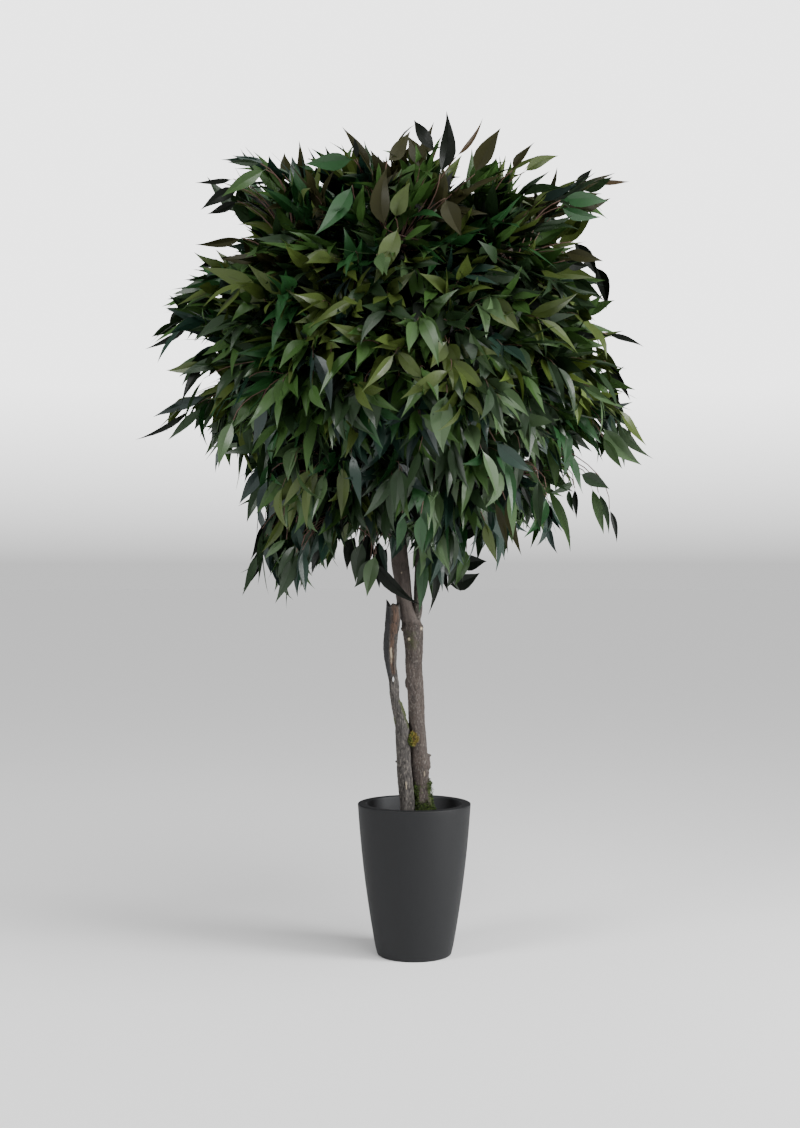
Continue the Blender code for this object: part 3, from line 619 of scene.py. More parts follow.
# Stage: how far the camera sees, the floor, where the lights stand, and how the backdrop pales upwards
CAMERA_REACH = 200
FLOOR_RADIUS = 60
FLOOR_SIDES = 64
KEY_WAY = (-0.45, 0.55, -1.0)
KEY_SOFTNESS = 50
SIDE_SOFTBOX = {"size": (1.4, 2.4), "place": (3.4, -1.5, 1.9), "aim": (0, 0, 1.1)}
FILL_SOFTBOX = {"size": (1.6, 2.4), "place": (-3.1, -2.5, 3.0), "aim": (0, 0, 1.7)}
BACKDROP_RISE = 0.11
BACKDROP_FOOT = 0.80


def paint(red, green, blue):
    """A colour as a screen shows it, each part 0 to 255, as the linear values of the sRGB curve."""
    parts = (part / 255 for part in (red, green, blue))
    return tuple(part / 12.92 if part <= 0.04045 else ((part + 0.055) / 1.055) ** 2.4 for part in parts)


def colour_setting(name, description, screen):
    """A colour that a user may change, given as a screen shows it."""
    return FloatVectorProperty(name=name, description=description, subtype="COLOR", size=3, min=0, max=1,
                               default=paint(*screen))


def count_setting(name, description, default, least=0):
    """A number of things that a user may change."""
    return IntProperty(name=name, description=description, default=default, min=least)


def share_setting(name, description, default):
    """A share that a user may change, from 0 to 1."""
    return FloatProperty(name=name, description=description, default=default, min=0, max=1)


def light_setting(name, description, default, unit="NONE"):
    """A strength of light that a user may change."""
    return FloatProperty(name=name, description=description, default=default, min=0, unit=unit)


def length_setting(name, description, default):
    """A length that a user may change, in metres."""
    return FloatProperty(name=name, description=description, default=default, min=0, unit="LENGTH")


class PotLook(PropertyGroup):
    """Sizes and colours of the pot and its filling."""

    rim_radius: length_setting("Rim radius", "Outer radius of the rim", 0.150)
    foot_radius: length_setting("Foot radius", "Outer radius of the foot", 0.0995)
    wall: length_setting("Wall", "Thickness of the wall, which shows on the rim", 0.023)
    foot_rounding: length_setting("Foot rounding", "Radius of the rounded lower edge", 0.006)
    rim_rounding: length_setting("Rim rounding", "Radius of the rim's rounded edges", 0.0032)
    bow: share_setting("Bow", "How far the side bows out", 0.52)
    colour: colour_setting("Pot", "Colour of the moulded plastic", (17, 18, 20))
    speck: colour_setting("Pot specks", "Colour of the fine grain in the plastic", (22, 23, 25))
    # Painted light: the inner wall is the same plastic, coloured much paler for the light that falls into
    # the pot
    inside: colour_setting("Pot inside", "Colour of the inner wall", (47, 48, 50))
    inside_speck_painted_light: colour_setting("Inner specks", "Colour of the fine grain inside", (57, 58, 60))
    filling: colour_setting("Filling", "Colour of the cast filling", (46, 38, 30))
    filling_dust: colour_setting("Filling dust", "Colour of the dry crumbs on the filling", (88, 74, 58))


class BarkLook(PropertyGroup):
    """Relief and colours of the bark."""

    relief: length_setting("Relief", "Depth of the bark's furrows", 0.0016)
    main_dark: colour_setting("Main stem, dark", "Darker tone of the main stem", (53, 45, 41))
    main_light: colour_setting("Main stem, light", "Lighter tone of the main stem", (73, 63, 57))
    left_dark: colour_setting("Left stem, dark", "Darker tone of the left stem", (49, 46, 43))
    left_light: colour_setting("Left stem, light", "Lighter tone of the left stem", (73, 69, 66))
    bough_dark: colour_setting("Boughs, dark", "Darker tone of the boughs", (42, 37, 33))
    bough_light: colour_setting("Boughs, light", "Lighter tone of the boughs", (64, 57, 51))
    # Paler bark of the upper main stem: partly its own smoother bark, partly painted light where the crown
    # shades it
    smooth_bark_and_painted_light: colour_setting("Smooth bark", "Bark of the upper stem", (80, 71, 66))
    # Dark bark on the left stem's outer side: partly its own dark smooth bark, partly painted shade
    side_bark_and_painted_shade: colour_setting("Slate bark", "Bark on the outer side of the left stem", (33, 33, 35))
    lichen: colour_setting("Lichen", "Pale crust on the ridges", (110, 104, 97))
    # Painted shade: the colour that the bark is darkened to in its furrows and in the slit
    furrow: colour_setting("Furrows", "Colour in the furrows", (26, 22, 20))
    # Torn wood: its own fibres, darkened throughout as painted shade for the shaded top of the left stem
    dark_fibre_and_painted_shade: colour_setting("Torn wood, dark", "Darker fibres where bark is torn off", (17, 12, 10))
    light_fibre_and_painted_shade: colour_setting("Torn wood, light", "Lighter fibres where bark is torn off", (82, 61, 47))
    scar: colour_setting("Scars", "Pale wood of cut twigs", (176, 162, 138))
    moss: colour_setting("Moss stain", "Green film on the bark", (54, 62, 26))
    twig: colour_setting("Twigs", "Colour of the fine twigs", (84, 60, 50))
    branchlet: colour_setting("Branchlets", "Colour of the thicker twigs", (54, 44, 38))


class MossLook(PropertyGroup):
    """Sizes and colours of the moss."""

    leaflet: length_setting("Leaflet", "Length of a moss leaflet", 0.0056)
    foot_count: count_setting("Leaflets at the foot", "Leaflets round the stem's foot", 2600)
    tuft_count: count_setting("Leaflets on the tuft", "Leaflets on the tuft between the stems", 900)
    green: colour_setting("Moss, green", "Fresh moss", (66, 88, 25))
    deep: colour_setting("Moss, deep", "Shaded moss", (32, 46, 16))
    gold: colour_setting("Moss, gold", "Dry moss of the tuft", (122, 110, 48))


class FoliageLook(PropertyGroup):
    """Numbers and sizes of twigs and leaves."""

    branchlets: count_setting("Branchlets", "Thicker twigs in the crown", 130, least=1)
    twigs: count_setting("Twigs", "Fine twigs, each with a spray of leaves", 1230, least=1)
    leaf_length: length_setting("Leaf length", "Length of a leaf with its stalk", 0.142)
    leaf_width: length_setting("Leaf width", "Width of a leaf", 0.0385)
    leaf_spacing: length_setting("Leaf spacing", "Distance between leaves along a twig", 0.0225)
    gloss: share_setting("Wax", "Weight of the leaf's waxy coat", 0.16)
    sheen: share_setting("Sheen", "Strength of the leaf's own soft sheen", 0.28)


class LeafColours(PropertyGroup):
    """Base colours of the leaves."""

    emerald: colour_setting("Emerald", "Leaves of this colour", (25, 62, 27))
    leaf_green: colour_setting("Leaf green", "Leaves of this colour", (45, 72, 28))
    deep_green: colour_setting("Deep green", "Leaves of this colour", (25, 44, 20))
    olive: colour_setting("Olive", "Leaves of this colour", (58, 72, 26))
    bright_olive: colour_setting("Bright olive", "Leaves of this colour", (74, 92, 34))
    brown_olive: colour_setting("Brown olive", "Leaves of this colour", (39, 39, 19))
    bronze: colour_setting("Bronze", "Leaves of this colour", (51, 40, 23))
    slate: colour_setting("Slate", "Leaves of this colour", (29, 43, 39))
    teal: colour_setting("Teal", "Leaves of this colour", (20, 43, 33))
    # Pale leaves: partly a paler leaf colour, partly painted sheen
    sage: colour_setting("Sage", "Leaves of this colour", (62, 84, 51))
    # Near-black leaves: painted shade, put deep in the crown and where it shows dark between sprays
    painted_shade_green: colour_setting("Night green", "Leaves of this colour", (13, 18, 12))


class StageLook(PropertyGroup):
    """Camera, floor and light."""

    camera_distance: length_setting("Camera distance", "From the pot's axis to the camera", 4.16)
    camera_height: length_setting("Camera height", "Height of the camera over the floor", 1.034)
    camera_side: FloatProperty(name="Camera side", description="How far right of the axis the camera stands",
                               default=-0.0378, unit="LENGTH")
    lens: FloatProperty(name="Lens", description="Focal length", default=50, unit="CAMERA")
    key_strength: light_setting("Key", "Strength of the broad light from above", 2.8)
    side_power: light_setting("Side softbox", "Power of the softbox at the right", 212, unit="POWER")
    fill_power: light_setting("Fill softbox", "Power of the softbox at the left", 150, unit="POWER")
    room: light_setting("Room light", "Light that comes from all around", 0.19)
    backdrop: light_setting("Backdrop", "How bright the camera sees the room high up", 3.2)
    floor: colour_setting("Floor", "Plain pale floor", (244, 244, 244))


# Meshes
def add_piece(name, corners, faces, finish, nodes=(), slot=None, smooth=True, values=None):
    """Make a mesh piece that rides on the tree's one body and stands for its solids."""
    mesh = bpy.data.meshes.new(name)
    corners = np.asarray(corners, dtype=np.float32)
    sizes = [block.shape[1] for block in faces for _ in range(len(block))]
    starts = np.concatenate(([0], np.cumsum(sizes)[:-1]))
    loops = np.concatenate([block.ravel() for block in faces])
    mesh.vertices.add(len(corners))
    mesh.vertices.foreach_set("co", corners.ravel())
    mesh.loops.add(len(loops))
    mesh.loops.foreach_set("vertex_index", loops.astype(np.int32))
    mesh.polygons.add(len(sizes))
    mesh.polygons.foreach_set("loop_start", starts.astype(np.int32))
    mesh.update(calc_edges=True)
    mesh.validate()
    for label, numbers in (values or {}).items():
        kept = mesh.attributes.new(label, "FLOAT", "POINT")
        kept.data.foreach_set("value", np.asarray(numbers, dtype=np.float32))
    if smooth:
        mesh.shade_smooth()
    mesh.materials.append(finish)
    piece = bpy.data.objects.new(name, mesh)
    bpy.context.scene.collection.objects.link(piece)
    if slot:
        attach(piece, BODY)
        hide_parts(*nodes)
    return piece


class Pile:
    """Corners and faces of many small shapes that become one piece."""

    def __init__(self):
        self.corners = []
        self.quads = []
        self.triangles = []

    def add(self, corners, faces):
        """Put one more shape on the pile."""
        first = len(self.corners)
        self.corners += [tuple(corner) for corner in corners]
        for face in faces:
            kind = self.quads if len(face) == 4 else self.triangles
            kind.append([first + corner for corner in face])

    def add_tube(self, centres, radii, sides, lump=0.0):
        """Put a tapering tube on the pile, closed to a point at its end."""
        rings = ring_frames(centres)
        corners = []
        faces = []
        for centre, radius, (side, other) in zip(centres, radii, rings):
            for corner in range(sides):
                angle = math.tau * corner / sides
                reach = radius * (1 + lump * girth_wave(angle, centre.z))
                corners.append(centre + side * math.cos(angle) * reach + other * math.sin(angle) * reach)
        for row in range(len(centres) - 1):
            for corner in range(sides):
                after = (corner + 1) % sides
                low = row * sides
                faces.append((low + corner, low + after, low + sides + after, low + sides + corner))
        tip = len(corners)
        corners.append(centres[-1] + (centres[-1] - centres[-2]).normalized() * radii[-1])
        last = tip - sides
        faces += [(last + corner, last + (corner + 1) % sides, tip) for corner in range(sides)]
        self.add(corners, faces)

    def blocks(self):
        """The faces, those with four corners first."""
        return [np.array(block, dtype=np.int32) for block in (self.quads, self.triangles) if block]


def girth_wave(angle, height):
    """How a limb swells and narrows round its girth and along its height."""
    return sum(math.sin(turns * angle + climb * height) for turns, climb in BARK_WAVES)


# A direction across a path that gets shorter than this runs too much along it, and another is taken
LEAST_SIDE = 0.1


def ring_frames(centres):
    """Two directions across a path at each of its points, with no sudden turn between them."""
    frames = []
    side = Vector((1, 0, 0))
    for index in range(len(centres)):
        before = centres[max(index - 1, 0)]
        after = centres[min(index + 1, len(centres) - 1)]
        along = (after - before).normalized()
        side = side - along * side.dot(along)
        if side.length < LEAST_SIDE:
            side = along.orthogonal()
        side.normalize()
        frames.append((side.copy(), along.cross(side)))
    return frames


def taper(radii, count):
    """Radii that fall evenly from the first to the last."""
    return [radii[0] + (radii[1] - radii[0]) * index / (count - 1) for index in range(count)]


def round_faces(rows, columns):
    """The quads of a grid whose columns close into a round, and the two faces that end it."""
    around = np.arange(columns)[None, :]
    first = np.arange(rows - 1)[:, None] * columns
    low = first + around
    after = first + (around + 1) % columns
    quads = np.stack([low, after, after + columns, low + columns], axis=-1).reshape(-1, 4)
    return [quads, around[:, ::-1], (rows - 1) * columns + around]


def turned(profile, sides):
    """Corners and faces of a round body from its half section, with both ends closed."""
    profile = np.array(profile)
    angles = np.arange(sides) * math.tau / sides
    across = profile[:, 0, None]
    heights = np.repeat(profile[:, 1, None], sides, axis=1)
    corners = np.stack([across * np.cos(angles), across * np.sin(angles), heights], axis=-1)
    return corners.reshape(-1, 3), round_faces(len(profile), sides)


def scattered(chance, reach):
    """A vector at random, each part of it within a reach of nothing."""
    return Vector(chance.uniform(-reach, reach) for _ in range(3))


def layered_noise(place, layers):
    """Noises over each other, each with its own scale and strength."""
    return sum(strength * noise.noise(place * scale) for scale, strength in layers)


# Materials
def new_group(name, inputs, outputs):
    """An empty node group with its named inputs and outputs."""
    group = bpy.data.node_groups.new(name, "ShaderNodeTree")
    for label, kind, value in inputs:
        socket = group.interface.new_socket(name=label, in_out="INPUT", socket_type=kind)
        socket.default_value = value
    for label, kind in outputs:
        group.interface.new_socket(name=label, in_out="OUTPUT", socket_type=kind)
    return group, group.nodes.new("NodeGroupInput"), group.nodes.new("NodeGroupOutput")


def feed(tree, socket, value):
    """Join an input to another node's output, or set it to a number or a colour."""
    if isinstance(value, bpy.types.NodeSocket):
        tree.links.new(value, socket)
    else:
        socket.default_value = (*value, 1) if hasattr(value, "__len__") else value


def add_node(tree, kind, **inputs):
    """A new node with its named inputs fed."""
    node = tree.nodes.new("ShaderNode" + kind)
    for label, value in inputs.items():
        feed(tree, node.inputs[label.replace("_", " ").title()], value)
    return node


def spread_noise(tree, start, detail, low, high):
    """A noise drawn out along the height, and the same with its middle range spread from 0 to 1."""
    place = add_node(tree, "TexCoord")
    drawn = add_node(tree, "CombineXYZ", x=1, y=1, z=start.outputs["Stretch"])
    squeeze = add_node(tree, "VectorMath")
    squeeze.operation = "DIVIDE"
    feed(tree, squeeze.inputs[0], place.outputs["Object"])
    feed(tree, squeeze.inputs[1], drawn.outputs["Vector"])
    scale = start.outputs["Scale"]
    pattern = add_node(tree, "TexNoise", vector=squeeze.outputs["Vector"], scale=scale, detail=detail)
    spread = add_node(tree, "MapRange", value=pattern.outputs["Fac"], from_min=low, from_max=high)
    return pattern, spread


def grain_group():
    """Fine grain: a mask between two values, and a height for a bump."""
    if "grain" in bpy.data.node_groups:
        return bpy.data.node_groups["grain"]
    number = "NodeSocketFloat"
    inputs = [("Scale", number, 500), ("Stretch", number, 1), ("Low", number, 0), ("High", number, 1)]
    group, start, end = new_group("grain", inputs, [("Value", number), ("Height", number)])
    pattern, spread = spread_noise(group, start, detail=4, low=0.34, high=0.66)
    group.links.new(start.outputs["Low"], spread.inputs["To Min"])
    group.links.new(start.outputs["High"], spread.inputs["To Max"])
    group.links.new(spread.outputs["Result"], end.inputs["Value"])
    group.links.new(pattern.outputs["Fac"], end.inputs["Height"])
    return group


def tones_group():
    """Two tones of one stuff, mixed in soft patches."""
    if "tones" in bpy.data.node_groups:
        return bpy.data.node_groups["tones"]
    number, colour = "NodeSocketFloat", "NodeSocketColor"
    inputs = [("Dark", colour, (0, 0, 0, 1)), ("Light", colour, (1, 1, 1, 1)), ("Scale", number, 60),
              ("Stretch", number, 1)]
    group, start, end = new_group("tones", inputs, [("Color", colour)])
    _, spread = spread_noise(group, start, detail=6, low=0.36, high=0.64)
    mix = mix_colours(group, spread.outputs["Result"], start.outputs["Dark"], start.outputs["Light"])
    group.links.new(mix, end.inputs["Color"])
    return group


# The mix node has a socket of each name for every kind of data, so those for colours are taken by number
MIX_FACTOR, MIX_FIRST, MIX_SECOND, MIX_RESULT = 0, 6, 7, 2


def mix_colours(tree, share, first, second):
    """The two colours mixed by a mask, each a socket or a fixed colour."""
    mix = add_node(tree, "Mix")
    mix.data_type = "RGBA"
    for number, value in ((MIX_FACTOR, share), (MIX_FIRST, first), (MIX_SECOND, second)):
        feed(tree, mix.inputs[number], value)
    return mix.outputs[MIX_RESULT]


def place_group(tree, group, **values):
    """Put a node group in a material with its own values."""
    node = add_node(tree, "Group")
    node.node_tree = group
    for label, value in values.items():
        feed(tree, node.inputs[label.capitalize()], value)
    return node


def add_bump(tree, shader, height, distance):
    """Roughen a surface by a height."""
    bump = add_node(tree, "Bump", distance=distance, height=height)
    feed(tree, shader.inputs["Normal"], bump.outputs["Normal"])


def new_material(name):
    """A material with its node tree and shader."""
    made = bpy.data.materials.new(name)
    made.use_nodes = True
    return made, made.node_tree, made.node_tree.nodes["Principled BSDF"]


def two_tone_material(name, dark, light, scale, stretch, rough, bump, sheen=0.5):
    """A matt stuff of two tones, with a grain twice as fine."""
    made, tree, shader = new_material(name)
    shader.inputs["Specular IOR Level"].default_value = sheen
    tones = place_group(tree, tones_group(), dark=dark, light=light, scale=scale, stretch=stretch)
    tree.links.new(tones.outputs["Color"], shader.inputs["Base Color"])
    grain = place_group(tree, grain_group(), scale=scale * 2, stretch=stretch, low=rough[0], high=rough[1])
    tree.links.new(grain.outputs["Value"], shader.inputs["Roughness"])
    add_bump(tree, shader, grain.outputs["Height"], bump)
    return made


def plain_material(name, colour, scale, rough, bump, coat=0.0, coat_rough=0.22, sheen=0.5):
    """One plain base colour, with gloss and relief that vary over it."""
    made, tree, shader = new_material(name)
    shader.inputs["Base Color"].default_value = (*colour, 1)
    shader.inputs["Specular IOR Level"].default_value = sheen
    shader.inputs["Coat Weight"].default_value = coat
    shader.inputs["Coat Roughness"].default_value = coat_rough
    grain = place_group(tree, grain_group(), scale=scale, low=rough[0], high=rough[1])
    tree.links.new(grain.outputs["Value"], shader.inputs["Roughness"])
    add_bump(tree, shader, grain.outputs["Height"], bump)
    return made


def surface_value(tree, label):
    """A value that the mesh carries at its corners."""
    node = add_node(tree, "Attribute")
    node.attribute_name = label
    return node.outputs["Fac"]


def bark_material(name, look, dark, light, smooth):
    """Bark with painted shade in its furrows, lichen, torn wood darkened partly as painted shade, pale scars
    and a film of moss.
    """
    made, tree, shader = new_material(name)
    tones = place_group(tree, tones_group(), dark=dark, light=light, scale=70, stretch=4)
    crust = place_group(tree, grain_group(), scale=260, stretch=2.2, low=-1.1, high=0.7)
    crust.label = "Lichen"
    colour = mix_colours(tree, crust.outputs["Value"], tones.outputs["Color"], look.lichen)
    # Smooth band: partly painted light on the main stem, partly painted shade on the left stem
    colour = mix_colours(tree, surface_value(tree, "smooth"), colour, smooth)
    # Painted shade: darker where the furrows are deep
    colour = mix_colours(tree, surface_value(tree, "furrow"), colour, look.furrow)
    # Torn wood, darkened partly as painted shade
    fibres = place_group(tree, tones_group(), dark=look.dark_fibre_and_painted_shade, light=look.light_fibre_and_painted_shade,
                         scale=300, stretch=12)
    colour = mix_colours(tree, surface_value(tree, "torn"), colour, fibres.outputs["Color"])
    colour = mix_colours(tree, surface_value(tree, "moss"), colour, look.moss)
    colour = mix_colours(tree, surface_value(tree, "scar"), colour, look.scar)
    tree.links.new(colour, shader.inputs["Base Color"])
    grain = place_group(tree, grain_group(), scale=620, stretch=2.5, low=0.70, high=0.95)
    tree.links.new(grain.outputs["Value"], shader.inputs["Roughness"])
    add_bump(tree, shader, grain.outputs["Height"], distance=0.0012)
    return made


# Pot and filling
def rounded_corner(radius, height, first_degrees, size):
    """Points of a quarter round, given its centre and where it starts."""
    points = []
    for index in range(ROUNDING_STEPS + 1):
        angle = math.radians(first_degrees + 90 * index / ROUNDING_STEPS)
        points.append((radius + size * math.cos(angle), height + size * math.sin(angle)))
    return points


def pot_radius(look, height):
    """Outer radius of the pot at a height."""
    share = height / POT_HEIGHT
    return look.foot_radius + (look.rim_radius - look.foot_radius) * (share + look.bow * share * (1 - share))


def pot_profile(look):
    """The pot's half section: foot, bowed side, rounded rim and inner wall."""
    foot, rim = look.foot_rounding, look.rim_rounding
    rim_start = POT_HEIGHT - rim
    profile = [(POT_FOOT_MIDDLE, 0.0)] + rounded_corner(look.foot_radius - foot, foot, -90, foot)
    for index in range(1, POT_RINGS):
        height = foot + (rim_start - foot) * index / POT_RINGS
        profile.append((pot_radius(look, height), height))
    profile += rounded_corner(look.rim_radius - rim, rim_start, 0, rim)
    profile += rounded_corner(look.rim_radius - look.wall + rim, rim_start, 90, rim)
    for index in range(1, POT_RINGS):
        height = rim_start - (rim_start - POT_FLOOR) * index / (POT_RINGS - 1)
        profile.append((pot_radius(look, height) - look.wall, height))
    return profile


class TREE_OT_pot(Operator):
    """Turn the pot from its half section"""

    bl_idname = "tree.make_pot"
    bl_label = "Pot"

    def execute(self, context):
        look = context.scene.tree_pot
        finish = two_tone_material("moulded_plastic", look.colour, look.speck, **PLASTIC)
        # The inner wall's material is the plastic painted paler than the outside: painted light
        inside = two_tone_material("plastic_inside_painted_light", look.inside, look.inside_speck_painted_light, **PLASTIC)
        corners, faces = turned(pot_profile(look), POT_SIDES)
        piece = add_piece("pot_shell", corners, faces, finish, ["pot"], "pot_plastic")
        piece.data.materials.append(inside)
        for face in piece.data.polygons:
            outward = face.center.xy
            face.material_index = int(face.normal.xy.dot(outward) < POT_INWARD * outward.length)
        piece.data.set_sharp_from_angle(angle=math.radians(POT_CREASE))
        return {"FINISHED"}


def crumb_shape(chance, place, size):
    """Corners and faces of one uneven crumb."""
    ends = [Vector(way) for way in ((1, 0, 0), (-1, 0, 0), (0, 1, 0), (0, -1, 0), (0, 0, 1), (0, 0, -1))]
    turn = scattered(chance, 1).normalized().rotation_difference(UP)
    corners = [place + turn @ end * (size * chance.uniform(*CRUMB_REACH)) for end in ends]
    faces = []
    for corner, after in ((0, 2), (2, 1), (1, 3), (3, 0)):
        faces += [(corner, after, 4), (after, corner, 5)]
    return corners, faces


class TREE_OT_filling(Operator):
    """Cover the top of the filling with a crumbly crust"""

    bl_idname = "tree.make_filling"
    bl_label = "Filling"

    def execute(self, context):
        look = context.scene.tree_pot
        chance = random.Random(SEED)
        reach = pot_radius(look, FILL_TOP) - look.wall - FILL_GAP
        profile = [(reach - inward, FILL_TOP - down) for inward, down in FILL_SIDE]
        for index in range(FILL_RINGS):
            profile.append((reach * (1 - index / FILL_RINGS) + CRUST_LAP, CRUST_LEVEL))
        corners, faces = turned(profile, FILL_SIDES)
        for corner in corners[len(FILL_SIDE) * FILL_SIDES:]:
            corner[2] += CRUST_RISE + layered_noise(Vector(corner), CRUST_LUMPS)
        finish = two_tone_material("filling_crust", look.filling, look.filling_dust, **CRUST)
        add_piece("filling_top", corners, faces, finish, ["filling"], "fill_soil")
        pile = Pile()
        for _ in range(CRUMB_COUNT):
            angle = chance.uniform(0, math.tau)
            across = reach * math.sqrt(chance.random()) * CRUMB_WITHIN
            place = Vector((across * math.cos(angle), across * math.sin(angle), CRUMB_LEVEL))
            pile.add(*crumb_shape(chance, place, chance.uniform(*CRUMB_SIZES)))
        dusty = two_tone_material("filling_crumbs", look.filling, look.filling_dust, **CRUMBS)
        add_piece("filling_crumbs", pile.corners, pile.blocks(), dusty, ["filling"], "fill_soil",
                  smooth=False)
        return {"FINISHED"}


# Stems
def curve_point(around, share):
    """A point on the smooth curve between the middle two of four stations."""
    before, start, end, after = around
    pull_out = (end - before) / 2
    pull_in = (after - start) / 2
    square = share * share
    cube = square * share
    return (
        start * (2 * cube - 3 * square + 1)
        + pull_out * (cube - 2 * square + share)
        + end * (3 * square - 2 * cube)
        + pull_in * (cube - square)
    )


def smooth_path(stations, step, coarse_above=None):
    """Points and radii along a smooth curve through the stations, with longer steps above a height."""
    centres = []
    radii = []
    last = len(stations) - 1
    for index in range(last):
        around = [Vector(stations[min(max(index + shift, 0), last)]) for shift in (-1, 0, 1, 2)]
        hidden = coarse_above is not None and around[1].z > coarse_above
        spacing = step * (COARSE_STEP if hidden else 1)
        pieces = max(1, round((around[2] - around[1]).length / spacing))
        for piece in range(pieces):
            point = curve_point(around, piece / pieces)
            centres.append(point.xyz)
            radii.append(point.w)
    centres.append(Vector(stations[-1][:3]))
    radii.append(stations[-1][3])
    return centres, radii


def clamped(value):
    """A value held between 0 and 1."""
    return min(1.0, max(0.0, value))


def round_share(bearing, middle, spread):
    """How near a bearing lies to another, in degrees: 1 at the middle and fading over the spread."""
    turn = (bearing - middle + 180) % 360 - 180
    return math.exp(-((turn / spread) ** 2))


def mark_value(mark, bearing, height):
    """How strongly a mark shows at a bearing and a height on a stem."""
    above = clamped(0.5 + (height - mark.low) / mark.soft)
    below = clamped(0.5 + (mark.high - height) / mark.soft)
    edge = above * below
    return mark.lift * round_share(bearing, mark.bearing, mark.spread) * edge * edge * (3 - 2 * edge)


def strongest(marks, bearing, height):
    """How strongly the strongest of some marks shows, or 0 where there is none."""
    return max((mark_value(mark, bearing, height) for mark in marks), default=0)


def furrow_depth(place, furrow):
    """How deep a place lies in a furrow of the bark: 0 on a ridge, and the furrow's depth at its bottom."""
    spot = Vector((place.x * furrow.scale, place.y * furrow.scale, place.z * furrow.scale / furrow.stretch))
    spot.z += FURROW_WAVER * noise.noise(spot * FURROW_WAVER_SCALE)
    return max(0.0, 1 - abs(noise.noise(spot)) / furrow.width) * furrow.depth


def torn_shift(outward, bearing, height, top):
    """How far a torn end rises in a spike or dips between splinters."""
    share = clamped((height - TORN_END["from"]) / (top - TORN_END["from"]))
    splinter = TORN_END["even"] + noise.noise(outward * TORN_END["splinters"])
    spike = TORN_END["spike"] * round_share(bearing, TORN_END["bearing"], TORN_END["spread"])
    return share * (spike - TORN_END["dip"] * splinter)


def bark_skin(stations, skin, relief, coarse_above=None, torn_end=False):
    """Corners, faces and surface values of a stem with its bark's relief."""
    centres, radii = smooth_path(stations, skin.step, coarse_above)
    corners = []
    values = {label: [] for label in ("furrow", *skin.masks)}
    for centre, radius, (side, other) in zip(centres, radii, ring_frames(centres)):
        for column in range(skin.columns):
            angle = math.tau * column / skin.columns
            outward = side * math.cos(angle) + other * math.sin(angle)
            bearing = math.degrees(math.atan2(outward.y, outward.x))
            reach = radius * (1 + BARK_LUMP * girth_wave(angle, centre.z))
            place = centre + outward * reach
            ragged = RAGGED_MIDDLE + layered_noise(place, RAGGED)
            torn = strongest(skin.masks["torn"], bearing, place.z)
            smooth = strongest(skin.masks["smooth"], bearing, place.z)
            depth = sum(furrow_depth(place, furrow) * (1 - SMOOTHING * smooth) for furrow in skin.furrows)
            rise = layered_noise(place, BARK_GRAIN) + BARK_SWELL - depth * (1 - TORN_SMOOTHING * torn)
            reach += sum(mark_value(mark, bearing, place.z) for mark in skin.marks)
            reach += relief * skin.relief * rise
            place = centre + outward * max(reach, radius * LEAST_GIRTH)
            if torn_end:
                place.z += torn_shift(outward, bearing, centre.z, centres[-1].z)
            corners.append(place)
            # The furrow's depth, kept as painted shade for the material
            values["furrow"].append(min(1.0, depth * FURROW_SHADE))
            for label, mask in skin.masks.items():
                shown = strongest(mask, bearing, place.z) * MASK_GAIN - ragged * RAGGED_SHARE
                values[label].append(clamped(shown))
    return corners, round_faces(len(centres), skin.columns), values


def cut_slit(piece):
    """Cut the narrow slit through the left stem, its walls dark with painted shade."""
    profile = []
    for index in range(SLIT["rings"]):
        angle = math.pi * (index + 0.5) / SLIT["rings"] - math.pi / 2
        profile.append((math.cos(angle), math.sin(angle)))
    corners, faces = turned(profile, SLIT["sides"])
    corners = corners * np.array(SLIT["size"]) + np.array(SLIT["place"])
    # The slit's walls take the furrows' colour in full: painted shade inside the slit
    dark = {"furrow": [1] * len(corners)}
    cutter = add_piece("slit_cutter", corners, faces, piece.data.materials[0], values=dark)
    cut = piece.modifiers.new("slit", "BOOLEAN")
    cut.operation = "DIFFERENCE"
    cut.object = cutter
    bpy.context.view_layer.update()
    seen = piece.evaluated_get(bpy.context.evaluated_depsgraph_get())
    finished = bpy.data.meshes.new_from_object(seen)
    piece.modifiers.clear()
    piece.data = finished
    bpy.data.objects.remove(cutter)


class TREE_OT_stems(Operator):
    """Make the bark of the main stem, the left stem and the right limb"""

    bl_idname = "tree.make_stems"
    bl_label = "Stems"

    def execute(self, context):
        look = context.scene.tree_bark
        finish = bark_material("main_bark", look, look.main_dark, look.main_light, look.smooth_bark_and_painted_light)
        corners, faces, values = bark_skin(MAIN_STEM, MAIN_SKIN, look.relief, coarse_above=COARSE_ABOVE)
        add_piece("main_stem_bark", corners, faces, finish, ["stem_main"], "bark", values=values)
        # The left stem's smooth band takes the dark side bark, partly painted shade
        finish = bark_material("left_bark", look, look.left_dark, look.left_light, look.side_bark_and_painted_shade)
        corners, faces, values = bark_skin(LEFT_STEM, LEFT_SKIN, look.relief, torn_end=True)
        piece = add_piece("left_stem_bark", corners, faces, finish, ["stem_left"], "bark", values=values)
        cut_slit(piece)
        finish = bark_material("limb_bark", look, look.bough_dark, look.bough_light, look.smooth_bark_and_painted_light)
        corners, faces, values = bark_skin(RIGHT_LIMB, LIMB_SKIN, look.relief)
        add_piece("right_limb_bark", corners, faces, finish, ["limb_right"], "bark", values=values)
        return {"FINISHED"}


# Crown outline
def between(table, place, column):
    """Read a column of an outline table at a place between its rows."""
    keys = [row[0] for row in table]
    upper = min(max(bisect.bisect(keys, place), 1), len(table) - 1)
    low, high = table[upper - 1], table[upper]
    share = clamped((place - low[0]) / (high[0] - low[0]))
    return low[column] + (high[column] - low[column]) * share


